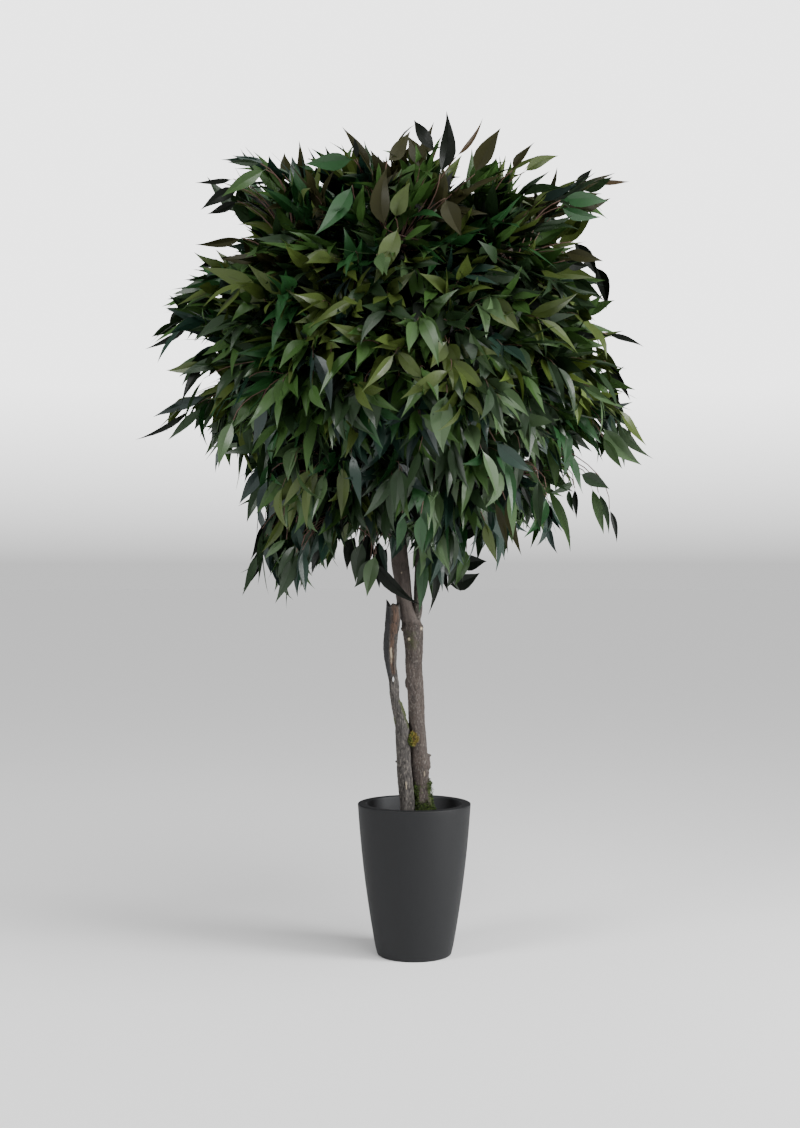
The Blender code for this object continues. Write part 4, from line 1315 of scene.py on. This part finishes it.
def crown_reach(bearing, height):
    """How far the leaf tips stand from the crown's axis, towards a bearing at a height."""
    left = (1 - math.cos(bearing)) / 2
    return between(CROWN_OUTLINE, height, 1) * (1 - left) + between(CROWN_OUTLINE, height, 2) * left


def in_crown(point, stretch=1.0):
    """Whether a point lies inside the crown's outline, stretched a little."""
    across = Vector((point.x - CROWN_AXIS_X, point.y))
    bearing = math.atan2(across.y, across.x)
    if not CROWN_OUTLINE[0][0] < point.z < CROWN_OUTLINE[-1][0]:
        return False
    if point.z < between(CROWN_UNDERSIDE, point.x, 1) + (1 - stretch) / 2:
        return False
    return across.length < crown_reach(bearing, point.z) * stretch


def crown_edge(direction):
    """The point where a ray from the crown's heart leaves the outline."""
    reach = EDGE_SEARCH_START
    while in_crown(CROWN_HEART + direction * (reach + EDGE_SEARCH_STEP)):
        reach += EDGE_SEARCH_STEP
    return CROWN_HEART + direction * reach


def fall(point):
    """The way foliage points at a place: up at the top, outward at the shoulders and down at the skirt."""
    from_heart = point - CROWN_HEART
    outward = Vector((from_heart.x, from_heart.y, 0))
    from_top = math.degrees(from_heart.angle(UP))
    slope = math.radians(max(FALL_AT_TOP - FALL_RATE * from_top, FALL_STEEPEST))
    return outward.normalized() * math.cos(slope) + UP * math.sin(slope)


def even_directions(count):
    """Directions spread evenly over a sphere."""
    directions = []
    for index in range(count):
        height = 1 - (2 * index + 1) / count
        across = math.sqrt(1 - height * height)
        turn = GOLDEN_TURN * index
        directions.append(Vector((across * math.cos(turn), across * math.sin(turn), height)))
    return directions


def mass_sites():
    """The name, middle and bough height of each foliage mass."""
    sites = [("crown_top", CROWN_HEART.lerp(crown_edge(UP), SITE_SHARE), None)]
    for ring_name, ring in MASS_RINGS.items():
        elevation = math.radians(ring["elevation"])
        for index in range(ring["count"]):
            bearing = math.radians(ring["bearing"]) + math.tau * index / ring["count"]
            flat = Vector((math.cos(bearing), math.sin(bearing), 0))
            edge = crown_edge(flat * math.cos(elevation) + UP * math.sin(elevation))
            # Neighbours leave the stem at heights well apart
            order = index * 2 % ring["count"] + (index * 2 // ring["count"]) % 2 / 2
            leaves_at = ring["from"] + ring["rise"] * order
            sites.append((f"{ring_name}_{index + 1}", CROWN_HEART.lerp(edge, SITE_SHARE), leaves_at))
    return sites


def stem_place(stations, height):
    """A stem's centre and radius at a height."""
    line = [(up, across, deep, radius) for across, deep, up, radius in stations]
    centre = Vector((between(line, height, 1), between(line, height, 2), height))
    return centre, between(line, height, 3)


# Boughs
def bend_point(bend, share):
    """A point on a curve that leaves its start towards a knee and ends from there."""
    start, knee, end = bend
    return start * (1 - share) ** 2 + knee * (2 * share * (1 - share)) + end * share**2


def bend_way(bend, share):
    """The way such a curve runs at a share of it."""
    start, knee, end = bend
    return ((knee - start) * (1 - share) + (end - knee) * share).normalized()


def bend_points(bend, count, reach=1.0):
    """Points along such a curve, up to a share of it."""
    return [bend_point(bend, reach * index / (count - 1)) for index in range(count)]


def bough_bends():
    """The line of each mass's limb, from inside the stem that carries it to the mass's middle."""
    bends = {}
    for name, site, leaves_at in mass_sites():
        if leaves_at is None:
            start = Vector(MAIN_STEM[-1][:3])
        else:
            carrier = RIGHT_LIMB if name == RIGHT_LIMB_MASS else MAIN_STEM
            start, _ = stem_place(carrier, min(leaves_at, carrier[-1][2] - BOUGH_BELOW_TIP))
        middle = (start + site) / 2 + UP * BOUGH_LIFT * (site - start).length
        bends[name] = (start, middle, site)
    return bends


class TREE_OT_boughs(Operator):
    """Make the boughs that carry the foliage masses"""

    bl_idname = "tree.make_boughs"
    bl_label = "Boughs"

    def execute(self, context):
        look = context.scene.tree_bark
        pile = Pile()
        radii = taper(BOUGH_RADII, BOUGH_POINTS)
        for bend in bough_bends().values():
            pile.add_tube(bend_points(bend, BOUGH_POINTS), radii, BOUGH_ROUND, BARK_LUMP)
        nodes = sorted(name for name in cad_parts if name.startswith("bough_"))
        finish = two_tone_material("bough_bark", look.bough_dark, look.bough_light, **BOUGH_BARK)
        add_piece("boughs", pile.corners, pile.blocks(), finish, nodes, "bark")
        return {"FINISHED"}


# Twigs and leaves
Leaf = namedtuple("Leaf", "root axis facing length width sickle curl fold twist wave phase")
Spray = namedtuple("Spray", "bend way depth stretch")


def nearest(places, point):
    """The number of the place that is nearest to a point."""
    return min(range(len(places)), key=lambda index: (places[index] - point).length_squared)


def branchlet_bends(count, bends, chance):
    """Thicker twigs, spread evenly through the crown, each from the limb of its own mass."""
    names = list(bends)
    sites = [bends[name][2] for name in names]
    made = []
    for way in even_directions(count):
        end = CROWN_HEART.lerp(crown_edge(way), BRANCHLET_SHARE)
        limb = bends[names[nearest(sites, end)]]
        share = chance.uniform(*BRANCHLET_FROM)
        start = bend_point(limb, share)
        knee = start + bend_way(limb, share) * (end - start).length * BRANCHLET_BEND
        made.append((start, knee, end))
    return made


def twig_to(end, branchlets, chance):
    """A fine twig that leaves the nearest branchlet, bends over as it falls and ends at a point."""
    branchlet = branchlets[nearest([bend[2] for bend in branchlets], end)]
    wanted = chance.uniform(*TWIG_LENGTHS)
    shares = [(place + 1) / (TWIG_TRIES + 1) for place in range(TWIG_TRIES + 1)]
    share = min(shares, key=lambda place: abs((bend_point(branchlet, place) - end).length - wanted))
    start = bend_point(branchlet, share)
    knee = end - (fall(end) + scattered(chance, TWIG_WANDER)).normalized() * (end - start).length * TWIG_BEND
    return start, knee, end


def notch(way):
    """How far the leaf tips draw back towards a direction, between the clumps and between the sprays."""
    clump = max(0.0, CLUMP_DEPTH * noise.noise(way * CLUMP_SCALE))
    depth = NOTCH_DEPTH * (1 + NOTCH_BELOW * max(0.0, -way.z))
    return clump + depth * max(0.0, NOTCH_MIDDLE + noise.noise(way * NOTCH_SCALE))


def plan_sprays(count, branchlets, leaf_length, chance):
    """Twigs that end in clumps under the crown's outline, closer in the skirt, and the furthest tips."""
    ways = even_directions(count)
    ways += [way for way in ways if way.z < SKIRT_BELOW and abs(way.x) < SKIRT_WITHIN]
    plan = []
    for index, way in enumerate(ways):
        way = (way + scattered(chance, 1) / math.sqrt(count)).normalized()
        edge = crown_edge(way)
        depth = TWIG_DEPTHS[index % len(TWIG_DEPTHS)] - notch(way)
        end = CROWN_HEART.lerp(edge, depth) - fall(edge) * leaf_length * TIP_LEAF_SHARE
        plan.append(Spray(twig_to(end, branchlets, chance), way, depth, OUTLINE_STRETCH))
    for place in REACHING_TIPS:
        tip = Vector(place)
        end = tip - fall(tip) * leaf_length * TIP_LEAF_SHARE
        way = (tip - CROWN_HEART).normalized()
        plan.append(Spray(twig_to(end, branchlets, chance), way, 1, (REACHING_STRETCH, REACHING_STRETCH)))
    return plan


def spray_colours(way, depth, chance):
    """The main colour of a spray and the colour of its odd leaves, by where the spray hangs."""
    from_top = math.degrees(way.angle(UP)) + chance.gauss(0, REGION_BLUR)
    side = "left" if way.x + chance.gauss(0, SIDE_BLUR) < 0 else "right"
    if from_top < TOP_ENDS and abs(way.x) < TOP_WITHIN:
        region = "top"
    elif from_top < SHOULDER_ENDS:
        region = "shoulder_" + side
    elif from_top < FLANK_ENDS:
        region = "flank_" + side
    else:
        region = "skirt"
    shares = COLOUR_SHARES[region]
    main, odd = chance.choices(list(shares), list(shares.values()), k=2)
    # Deep sprays may take near-black leaves: painted shade inside the crown
    if depth < SHADE_DEPTH and chance.random() < SHADE_SHARE:
        main = "painted_shade_green"
    return main, odd


def near_solids(point):
    """Whether a point stands inside the solids' box, or only a little out of it."""
    low, high = cad_box
    return all(low[axis] - BOX_ROOM < point[axis] < high[axis] + BOX_ROOM for axis in range(3))


def clear_of_stems(point):
    """Whether a point stands off both stems."""
    for stations in (MAIN_STEM, LEFT_STEM):
        if stations[0][2] < point.z < stations[-1][2]:
            centre, radius = stem_place(stations, point.z)
            if (point - centre).length < radius + STEM_CLEARANCE:
                return False
    return True


def shaped_leaf(root, axis, facing, length, width, chance):
    """A leaf with its own width and bends, at its root."""
    return Leaf(
        root,
        axis,
        facing,
        length,
        width=width * chance.uniform(*LEAF_WIDTHS),
        sickle=chance.uniform(-LEAF_SICKLE, LEAF_SICKLE),
        curl=chance.uniform(*LEAF_CURL),
        fold=chance.uniform(*LEAF_FOLD),
        twist=chance.uniform(-LEAF_TWIST, LEAF_TWIST),
        wave=chance.uniform(0, LEAF_WAVE),
        phase=chance.uniform(0, math.tau),
    )


def try_leaf(node, axis, facing, look, chance, scale, stretch):
    """A leaf at a node, or None where it would leave the crown or touch a stem."""
    length = look.leaf_length * chance.uniform(*LEAF_SIZES) * scale
    tip = node + axis * length
    room = chance.uniform(*stretch) - notch((tip - CROWN_HEART).normalized())
    if not (in_crown(tip, room) and near_solids(tip)):
        return None
    if not (clear_of_stems(tip) and clear_of_stems(node.lerp(tip, 0.5))):
        return None
    slim = HANG_SLIM * max(0.0, CROWN_HEART.z - node.z)
    return shaped_leaf(node, axis, facing, length, look.leaf_width * scale * (1 - slim), chance)


def camera_place(stage):
    """Where the camera stands."""
    return Vector((stage.camera_side, -stage.camera_distance, stage.camera_height))


def sight_point(stage, across, height, depth):
    """The point at a depth that the camera sees where it sees a place of the stems' plane."""
    return camera_place(stage).lerp(Vector((across, 0, height)), 1 + depth / stage.camera_distance)


def over_gap(stage, leaf):
    """Whether the camera sees a leaf where the crown's edge is open to the sky."""
    for share in GAP_SHARES:
        point = leaf.root + leaf.axis * leaf.length * share
        seen = camera_place(stage).lerp(point, stage.camera_distance / (stage.camera_distance + point.y))
        for across, height, wide, high in SKY_GAPS:
            if ((seen.x - across) / wide) ** 2 + ((seen.z - height) / high) ** 2 < 1:
                return True
    return False


def sight_depth(stage, across, height, room, otherwise):
    """How deep the camera's line to a place of the stems' plane enters the crown."""
    for step in range(SIGHT_STEPS):
        depth = -stage.camera_distance * SIGHT_REACH * (1 - step / SIGHT_STEPS)
        point = sight_point(stage, across, height, depth)
        if in_crown(point, room - notch((point - CROWN_HEART).normalized())):
            return depth
    return otherwise


def front_leaf_ends(stage, root, tip):
    """Root and tip of a leaf on the crown's surface, given as the camera sees them."""
    root_depth = sight_depth(stage, *root, ROOT_ROOM, 0.0)
    tip_depth = sight_depth(stage, *tip, TIP_ROOM, root_depth)
    tip_depth = min(max(tip_depth, root_depth + TIP_LEAN[0]), root_depth + TIP_LEAN[1])
    return sight_point(stage, *root, root_depth), sight_point(stage, *tip, tip_depth)


def spray_leaves(bend, stretch, look, chance):
    """Leaves in turn on both sides of a twig and one at its end, each with its share of the way along."""
    length = (bend[2] - bend[0]).length
    bare = chance.uniform(*TWIG_BARE)
    count = max(LEAST_LEAVES, round(length * (1 - bare) / look.leaf_spacing))
    leaves = []
    for place in range(count + 1):
        share = bare + (1 - bare) * place / count
        node = bend_point(bend, share)
        way = bend_way(bend, share)
        outward = (node - CROWN_HEART).normalized()
        across = way.cross(outward).normalized()
        if place % 2:
            across = -across
        splay = math.radians(chance.uniform(*LEAF_SPLAY)) * (place < count)
        hang = max(0.0, CROWN_HEART.z - node.z)
        pull = chance.uniform(*LEAF_PULL) + HANG_PULL * hang
        wander = scattered(chance, LEAF_WANDER) * (1 - hang)
        axis = way * math.cos(splay) + across * math.sin(splay)
        axis = (axis * (1 - pull) + fall(node) * pull + wander).normalized()
        roll = scattered(chance, LEAF_ROLL)
        facing = outward + UP * LEAF_LOOKS_UP + across * chance.uniform(-LEAF_TURN, LEAF_TURN) + roll
        leaf = try_leaf(node, axis, facing, look, chance, 1 - LEAF_SHRINK * share, stretch)
        if leaf:
            leaves.append((share, leaf))
    return leaves


def leaf_corners(leaves):
    """Corners of many leaves, each bent, folded and twisted in its own way, with the tip as its last."""
    def column(label):
        return np.array([getattr(leaf, label) for leaf in leaves], dtype=np.float64)

    def spread(vectors):
        return vectors[:, None, None, :]

    axis = column("axis")
    side = np.cross(axis, column("facing"))
    side /= np.linalg.norm(side, axis=-1, keepdims=True)
    face = np.cross(side, axis)
    rows = np.array(LEAF_ROWS)
    along = np.concatenate((rows[:, 0], [1.0]))[None, :, None]
    half = np.concatenate((rows[:, 1], [0.0]))[None, :, None]
    size, width, curl, sickle, fold, twist, wave, phase = (
        column(label)[:, None, None]
        for label in ("length", "width", "curl", "sickle", "fold", "twist", "wave", "phase"))
    offset = np.array(LEAF_COLUMNS)[None, None, :] * half * width / 2
    turn = curl * along
    roll = twist * along
    # The first terms of how far a blade that curls evenly reaches ahead and sinks
    forward = size * along * (1 - turn**2 / 6)
    sink = size * curl * along**2 / 2
    drift = size * sickle * along * (along - SICKLE_CROSSING)
    lift = np.abs(offset) * (fold + wave * np.sin(LEAF_WAVES_ALONG * along + phase))
    rise = offset * np.sin(roll) + lift
    ahead = forward + rise * np.sin(turn)
    aside = drift + offset * np.cos(roll)
    up = rise * np.cos(turn) - sink
    points = (spread(column("root")) + ahead[..., None] * spread(axis) + aside[..., None] * spread(side)
              + up[..., None] * spread(face))
    blade = points[:, :-1].reshape(len(leaves), -1, 3)
    return np.concatenate((blade, points[:, -1, :1]), axis=1)


def leaf_mesh(leaves):
    """Corners and faces of many leaves as one mesh."""
    corners = leaf_corners(leaves)
    count, each = corners.shape[:2]
    wide = len(LEAF_COLUMNS)
    low = (np.arange(len(LEAF_ROWS) - 1)[:, None] * wide + np.arange(wide - 1)[None, :]).ravel()
    quads = np.stack((low, low + 1, low + wide + 1, low + wide), axis=-1)
    last = (len(LEAF_ROWS) - 1) * wide + np.arange(wide - 1)
    tips = np.stack((last, last + 1, np.full(wide - 1, each - 1)), axis=-1)
    first = (np.arange(count) * each)[:, None, None]
    faces = [(block[None] + first).reshape(-1, block.shape[1]) for block in (quads, tips)]
    return corners.reshape(-1, 3), faces


def crease_midribs(piece):
    """Let light break along the midrib of every leaf."""
    mesh = piece.data
    each = len(LEAF_ROWS) * len(LEAF_COLUMNS) + 1
    ends = np.zeros(len(mesh.edges) * 2, dtype=np.int32)
    mesh.edges.foreach_get("vertices", ends)
    local = ends.reshape(-1, 2) % each
    on_rib = (local % len(LEAF_COLUMNS) == len(LEAF_COLUMNS) // 2) | (local == each - 1)
    sharp = mesh.attributes.new("sharp_edge", "BOOLEAN", "EDGE")
    sharp.data.foreach_set("value", on_rib.all(axis=1))


def grow_sprays(look, stage, branchlets, twigs, leaves, chance):
    """Grow the crown's fine twigs with their leaves, without those that would cover open sky."""
    radii = taper(TWIG_RADII, TWIG_POINTS)
    for spray in plan_sprays(look.twigs, branchlets, look.leaf_length, chance):
        main, odd = spray_colours(spray.way, spray.depth, chance)
        grown = spray_leaves(spray.bend, spray.stretch, look, chance)
        named = [(share, odd if chance.random() < ODD_LEAVES else main, leaf) for share, leaf in grown]
        kept = [row for row in named if not over_gap(stage, row[2])]
        if len(kept) < LEAST_LEAVES:
            continue
        twigs.add_tube(bend_points(spray.bend, TWIG_POINTS, kept[-1][0]), radii, TWIG_ROUND)
        for _, name, leaf in kept:
            leaves[name].append(leaf)


def place_leaves(stage, branchlets, twigs, leaves, chance):
    """Put in the leaves that stand out at the fork and at the front, each on a twig of its own."""
    placed = [(name, Vector(root), Vector(tip), width) for name, root, tip, width in FORK_LEAVES]
    for name, root, tip, width in FRONT_LEAVES:
        placed.append((name, *front_leaf_ends(stage, root, tip), width))
    radii = taper(PLACED_TWIG_RADII, TWIG_POINTS)
    for name, root, tip, width in placed:
        twigs.add_tube(bend_points(twig_to(root, branchlets, chance), TWIG_POINTS), radii, TWIG_ROUND)
        way = tip - root
        facing = Vector((chance.uniform(*PLACED_TURN), -1, chance.uniform(*PLACED_TILT)))
        leaf = shaped_leaf(root, way.normalized(), facing, way.length, width, chance)
        fold = max(leaf.fold, PLACED_FOLD)
        leaves[name].append(leaf._replace(width=width, curl=leaf.curl * PLACED_CURL, fold=fold))


class TREE_OT_foliage(Operator):
    """Grow branchlets, twigs and leaves on from the boughs"""

    bl_idname = "tree.make_foliage"
    bl_label = "Foliage"

    def execute(self, context):
        look = context.scene.tree_foliage
        bark = context.scene.tree_bark
        stage = context.scene.tree_stage
        chance = random.Random(SEED)
        masses = [name for name, _, _ in mass_sites()]
        branchlets = branchlet_bends(look.branchlets, bough_bends(), chance)
        pile = Pile()
        radii = taper(BRANCHLET_RADII, BRANCHLET_POINTS)
        for bend in branchlets:
            pile.add_tube(bend_points(bend, BRANCHLET_POINTS), radii, BRANCHLET_ROUND)
        finish = plain_material("branchlet_bark", bark.branchlet, **BRANCHLET_BARK)
        add_piece("branchlets", pile.corners, pile.blocks(), finish, masses, "foliage")
        pile = Pile()
        leaves = {name: [] for name in LeafColours.__annotations__}
        grow_sprays(look, stage, branchlets, pile, leaves, chance)
        place_leaves(stage, branchlets, pile, leaves, chance)
        finish = plain_material("twig_bark", bark.twig, **TWIG_BARK)
        add_piece("twigs", pile.corners, pile.blocks(), finish, masses, "foliage")
        for name, group in leaves.items():
            colour = getattr(context.scene.tree_leaf_colours, name)
            gloss = GLOSSY.get(name, 1)
            finish = plain_material("leaf_" + name, colour, coat=look.gloss * gloss,
                                    sheen=look.sheen * min(1, gloss), **LEAF_SKIN)
            piece = add_piece("leaves_" + name, *leaf_mesh(group), finish, masses, "foliage")
            crease_midribs(piece)
        return {"FINISHED"}


# Moss
def moss_leaflet(place, outward, length, chance):
    """Corners and faces of one small pointed leaflet."""
    way = (outward + scattered(chance, LEAFLET_WANDER)).normalized()
    side = way.orthogonal().normalized()
    side = (side * chance.uniform(-1, 1) + way.cross(side) * chance.uniform(-1, 1)).normalized()
    bend = scattered(chance, LEAFLET_BEND) * length
    half = side * (length * LEAFLET_HALF_WIDTH)
    middle = place + way * length / 2
    corners = [place - half, place + half, middle + half, middle - half, place + way * length + bend]
    return corners, [(0, 1, 2, 3), (3, 2, 4)]


def grow_foot_moss(look, greens, chance):
    """Moss leaflets round the foot of the main stem, thinner the higher they grow."""
    grown = 0
    while grown < look.foot_count:
        bearing = chance.uniform(-180, 180)
        height = FILL_TOP + MOSS_CLIMB * chance.random() ** MOSS_THINNING
        cover = strongest(MAIN_MOSS, bearing, height)
        if chance.random() > cover * MOSS_DENSITY:
            continue
        centre, radius = stem_place(MAIN_STEM, height)
        turn = math.radians(bearing)
        outward = Vector((math.cos(turn), math.sin(turn), MOSS_LOOKS_UP))
        mound = MOUND_DEPTH * max(0, MOUND_TOP - height) / MOUND_HEIGHT
        thick = chance.uniform(*MOSS_THICKNESS) * cover + mound
        name = "green" if chance.random() < GREEN_MOSS else "deep"
        length = look.leaflet * chance.uniform(*FOOT_LEAFLETS)
        greens[name].add(*moss_leaflet(centre + outward * (radius + thick), outward, length, chance))
        grown += 1


def grow_tuft(look, greens, chance):
    """Moss leaflets all over the tuft between the stems, golden on its right."""
    middle = Vector(MOSS_TUFT["place"])
    for way in even_directions(look.tuft_count):
        lump = MOSS_TUFT["base"] + MOSS_TUFT["lump"] * noise.noise(way * MOSS_TUFT["lump_scale"])
        place = middle + Vector(part * size * lump for part, size in zip(way, MOSS_TUFT["size"]))
        golden = way.x + chance.gauss(0, MOSS_TUFT["gold_blur"]) > MOSS_TUFT["gold_from"]
        length = look.leaflet * chance.uniform(*TUFT_LEAFLETS)
        greens["gold" if golden else "green"].add(*moss_leaflet(place, way, length, chance))


class TREE_OT_moss(Operator):
    """Grow moss round the stem's foot and the tuft between the stems"""

    bl_idname = "tree.make_moss"
    bl_label = "Moss"

    def execute(self, context):
        look = context.scene.tree_moss
        chance = random.Random(SEED)
        greens = {"green": Pile(), "deep": Pile(), "gold": Pile()}
        grow_foot_moss(look, greens, chance)
        grow_tuft(look, greens, chance)
        nodes = {"green": ["moss_cushion"], "deep": ["moss_cushion"], "gold": ["moss_tuft"]}
        for name, pile in greens.items():
            finish = plain_material("moss_" + name, getattr(look, name), **MOSS_FINISH)
            add_piece("moss_" + name, pile.corners, pile.blocks(), finish, nodes[name], "moss")
        return {"FINISHED"}


# Stage
def add_softbox(name, power, size, place, aim):
    """A broad flat lamp that looks at a point."""
    lamp = bpy.data.lights.new(name, "AREA")
    lamp.shape = "RECTANGLE"
    lamp.size, lamp.size_y = size
    lamp.energy = power
    holder = bpy.data.objects.new(name, lamp)
    holder.location = place
    holder.rotation_euler = (Vector(aim) - Vector(place)).to_track_quat("-Z", "Y").to_euler()
    bpy.context.scene.collection.objects.link(holder)


def light_room(look):
    """Even light from all around, and a backdrop as pale as the floor."""
    world = bpy.data.worlds.new("room")
    bpy.context.scene.world = world
    world.use_nodes = True
    tree = world.node_tree
    backdrop = tree.nodes["Background"]
    rays = add_node(tree, "LightPath")
    place = add_node(tree, "TexCoord")
    parts = add_node(tree, "SeparateXYZ", vector=place.outputs["Generated"])
    seen = add_node(tree, "MapRange", value=parts.outputs["Z"], from_max=BACKDROP_RISE,
                    to_min=BACKDROP_FOOT, to_max=look.backdrop)
    choice = add_node(tree, "MapRange", value=rays.outputs["Is Camera Ray"],
                      to_min=look.room, to_max=seen.outputs["Result"])
    feed(tree, backdrop.inputs["Strength"], choice.outputs["Result"])
    feed(tree, backdrop.inputs["Color"], (1, 1, 1))


class TREE_OT_stage(Operator):
    """Set the camera, the floor and the lights"""

    bl_idname = "tree.make_stage"
    bl_label = "Stage"

    def execute(self, context):
        look = context.scene.tree_stage
        scene = context.scene
        camera = bpy.data.cameras.new("camera")
        camera.lens = look.lens
        camera.clip_end = CAMERA_REACH
        holder = bpy.data.objects.new("camera", camera)
        holder.location = camera_place(look)
        holder.rotation_euler = (math.pi / 2, 0, 0)
        scene.collection.objects.link(holder)
        scene.camera = holder
        finish = plain_material("pale_floor", look.floor, **FLOOR_FINISH)
        corners, _ = turned([(FLOOR_RADIUS, 0)], FLOOR_SIDES)
        floor = add_piece("floor", corners, [np.arange(FLOOR_SIDES)[None, :]], finish, smooth=False)
        key = bpy.data.lights.new("key", "SUN")
        key.energy = look.key_strength
        key.angle = math.radians(KEY_SOFTNESS)
        sun = bpy.data.objects.new("key", key)
        sun.rotation_euler = Vector(KEY_WAY).to_track_quat("-Z", "Y").to_euler()
        scene.collection.objects.link(sun)
        add_softbox("side_softbox", look.side_power, **SIDE_SOFTBOX)
        add_softbox("fill_softbox", look.fill_power, **FILL_SOFTBOX)
        light_room(look)
        return {"FINISHED"}


class VIEW3D_PT_tree(Panel):
    """Settings and steps of the potted eucalyptus tree"""

    bl_label = "Potted eucalyptus tree"
    bl_idname = "VIEW3D_PT_tree"
    bl_space_type = "VIEW_3D"
    bl_region_type = "UI"
    bl_category = "Tree"

    def draw(self, context):
        for label, holder in SETTINGS.items():
            box = self.layout.box()
            settings = getattr(context.scene, label)
            for name in holder.__annotations__:
                box.prop(settings, name)
        for step in STEPS:
            self.layout.operator(step.bl_idname)


SETTINGS = {
    "tree_pot": PotLook,
    "tree_bark": BarkLook,
    "tree_moss": MossLook,
    "tree_foliage": FoliageLook,
    "tree_leaf_colours": LeafColours,
    "tree_stage": StageLook,
}
STEPS = (
    TREE_OT_stage,
    TREE_OT_pot,
    TREE_OT_filling,
    TREE_OT_stems,
    TREE_OT_boughs,
    TREE_OT_moss,
    TREE_OT_foliage,
)


def register():
    """Make the settings, steps and panel known to Blender."""
    for kind in (*SETTINGS.values(), *STEPS, VIEW3D_PT_tree):
        bpy.utils.register_class(kind)
    for label, holder in SETTINGS.items():
        setattr(bpy.types.Scene, label, PointerProperty(type=holder))


def unregister():
    """Take the settings, steps and panel out of Blender."""
    for label in SETTINGS:
        delattr(bpy.types.Scene, label)
    for kind in (VIEW3D_PT_tree, *reversed(STEPS), *SETTINGS.values()):
        bpy.utils.unregister_class(kind)


def main():
    """Dress the tree step by step."""
    register()
    for step in STEPS:
        group, name = step.bl_idname.split(".")
        getattr(getattr(bpy.ops, group), name)()
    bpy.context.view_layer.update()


if __name__ == "__main__":
    main()
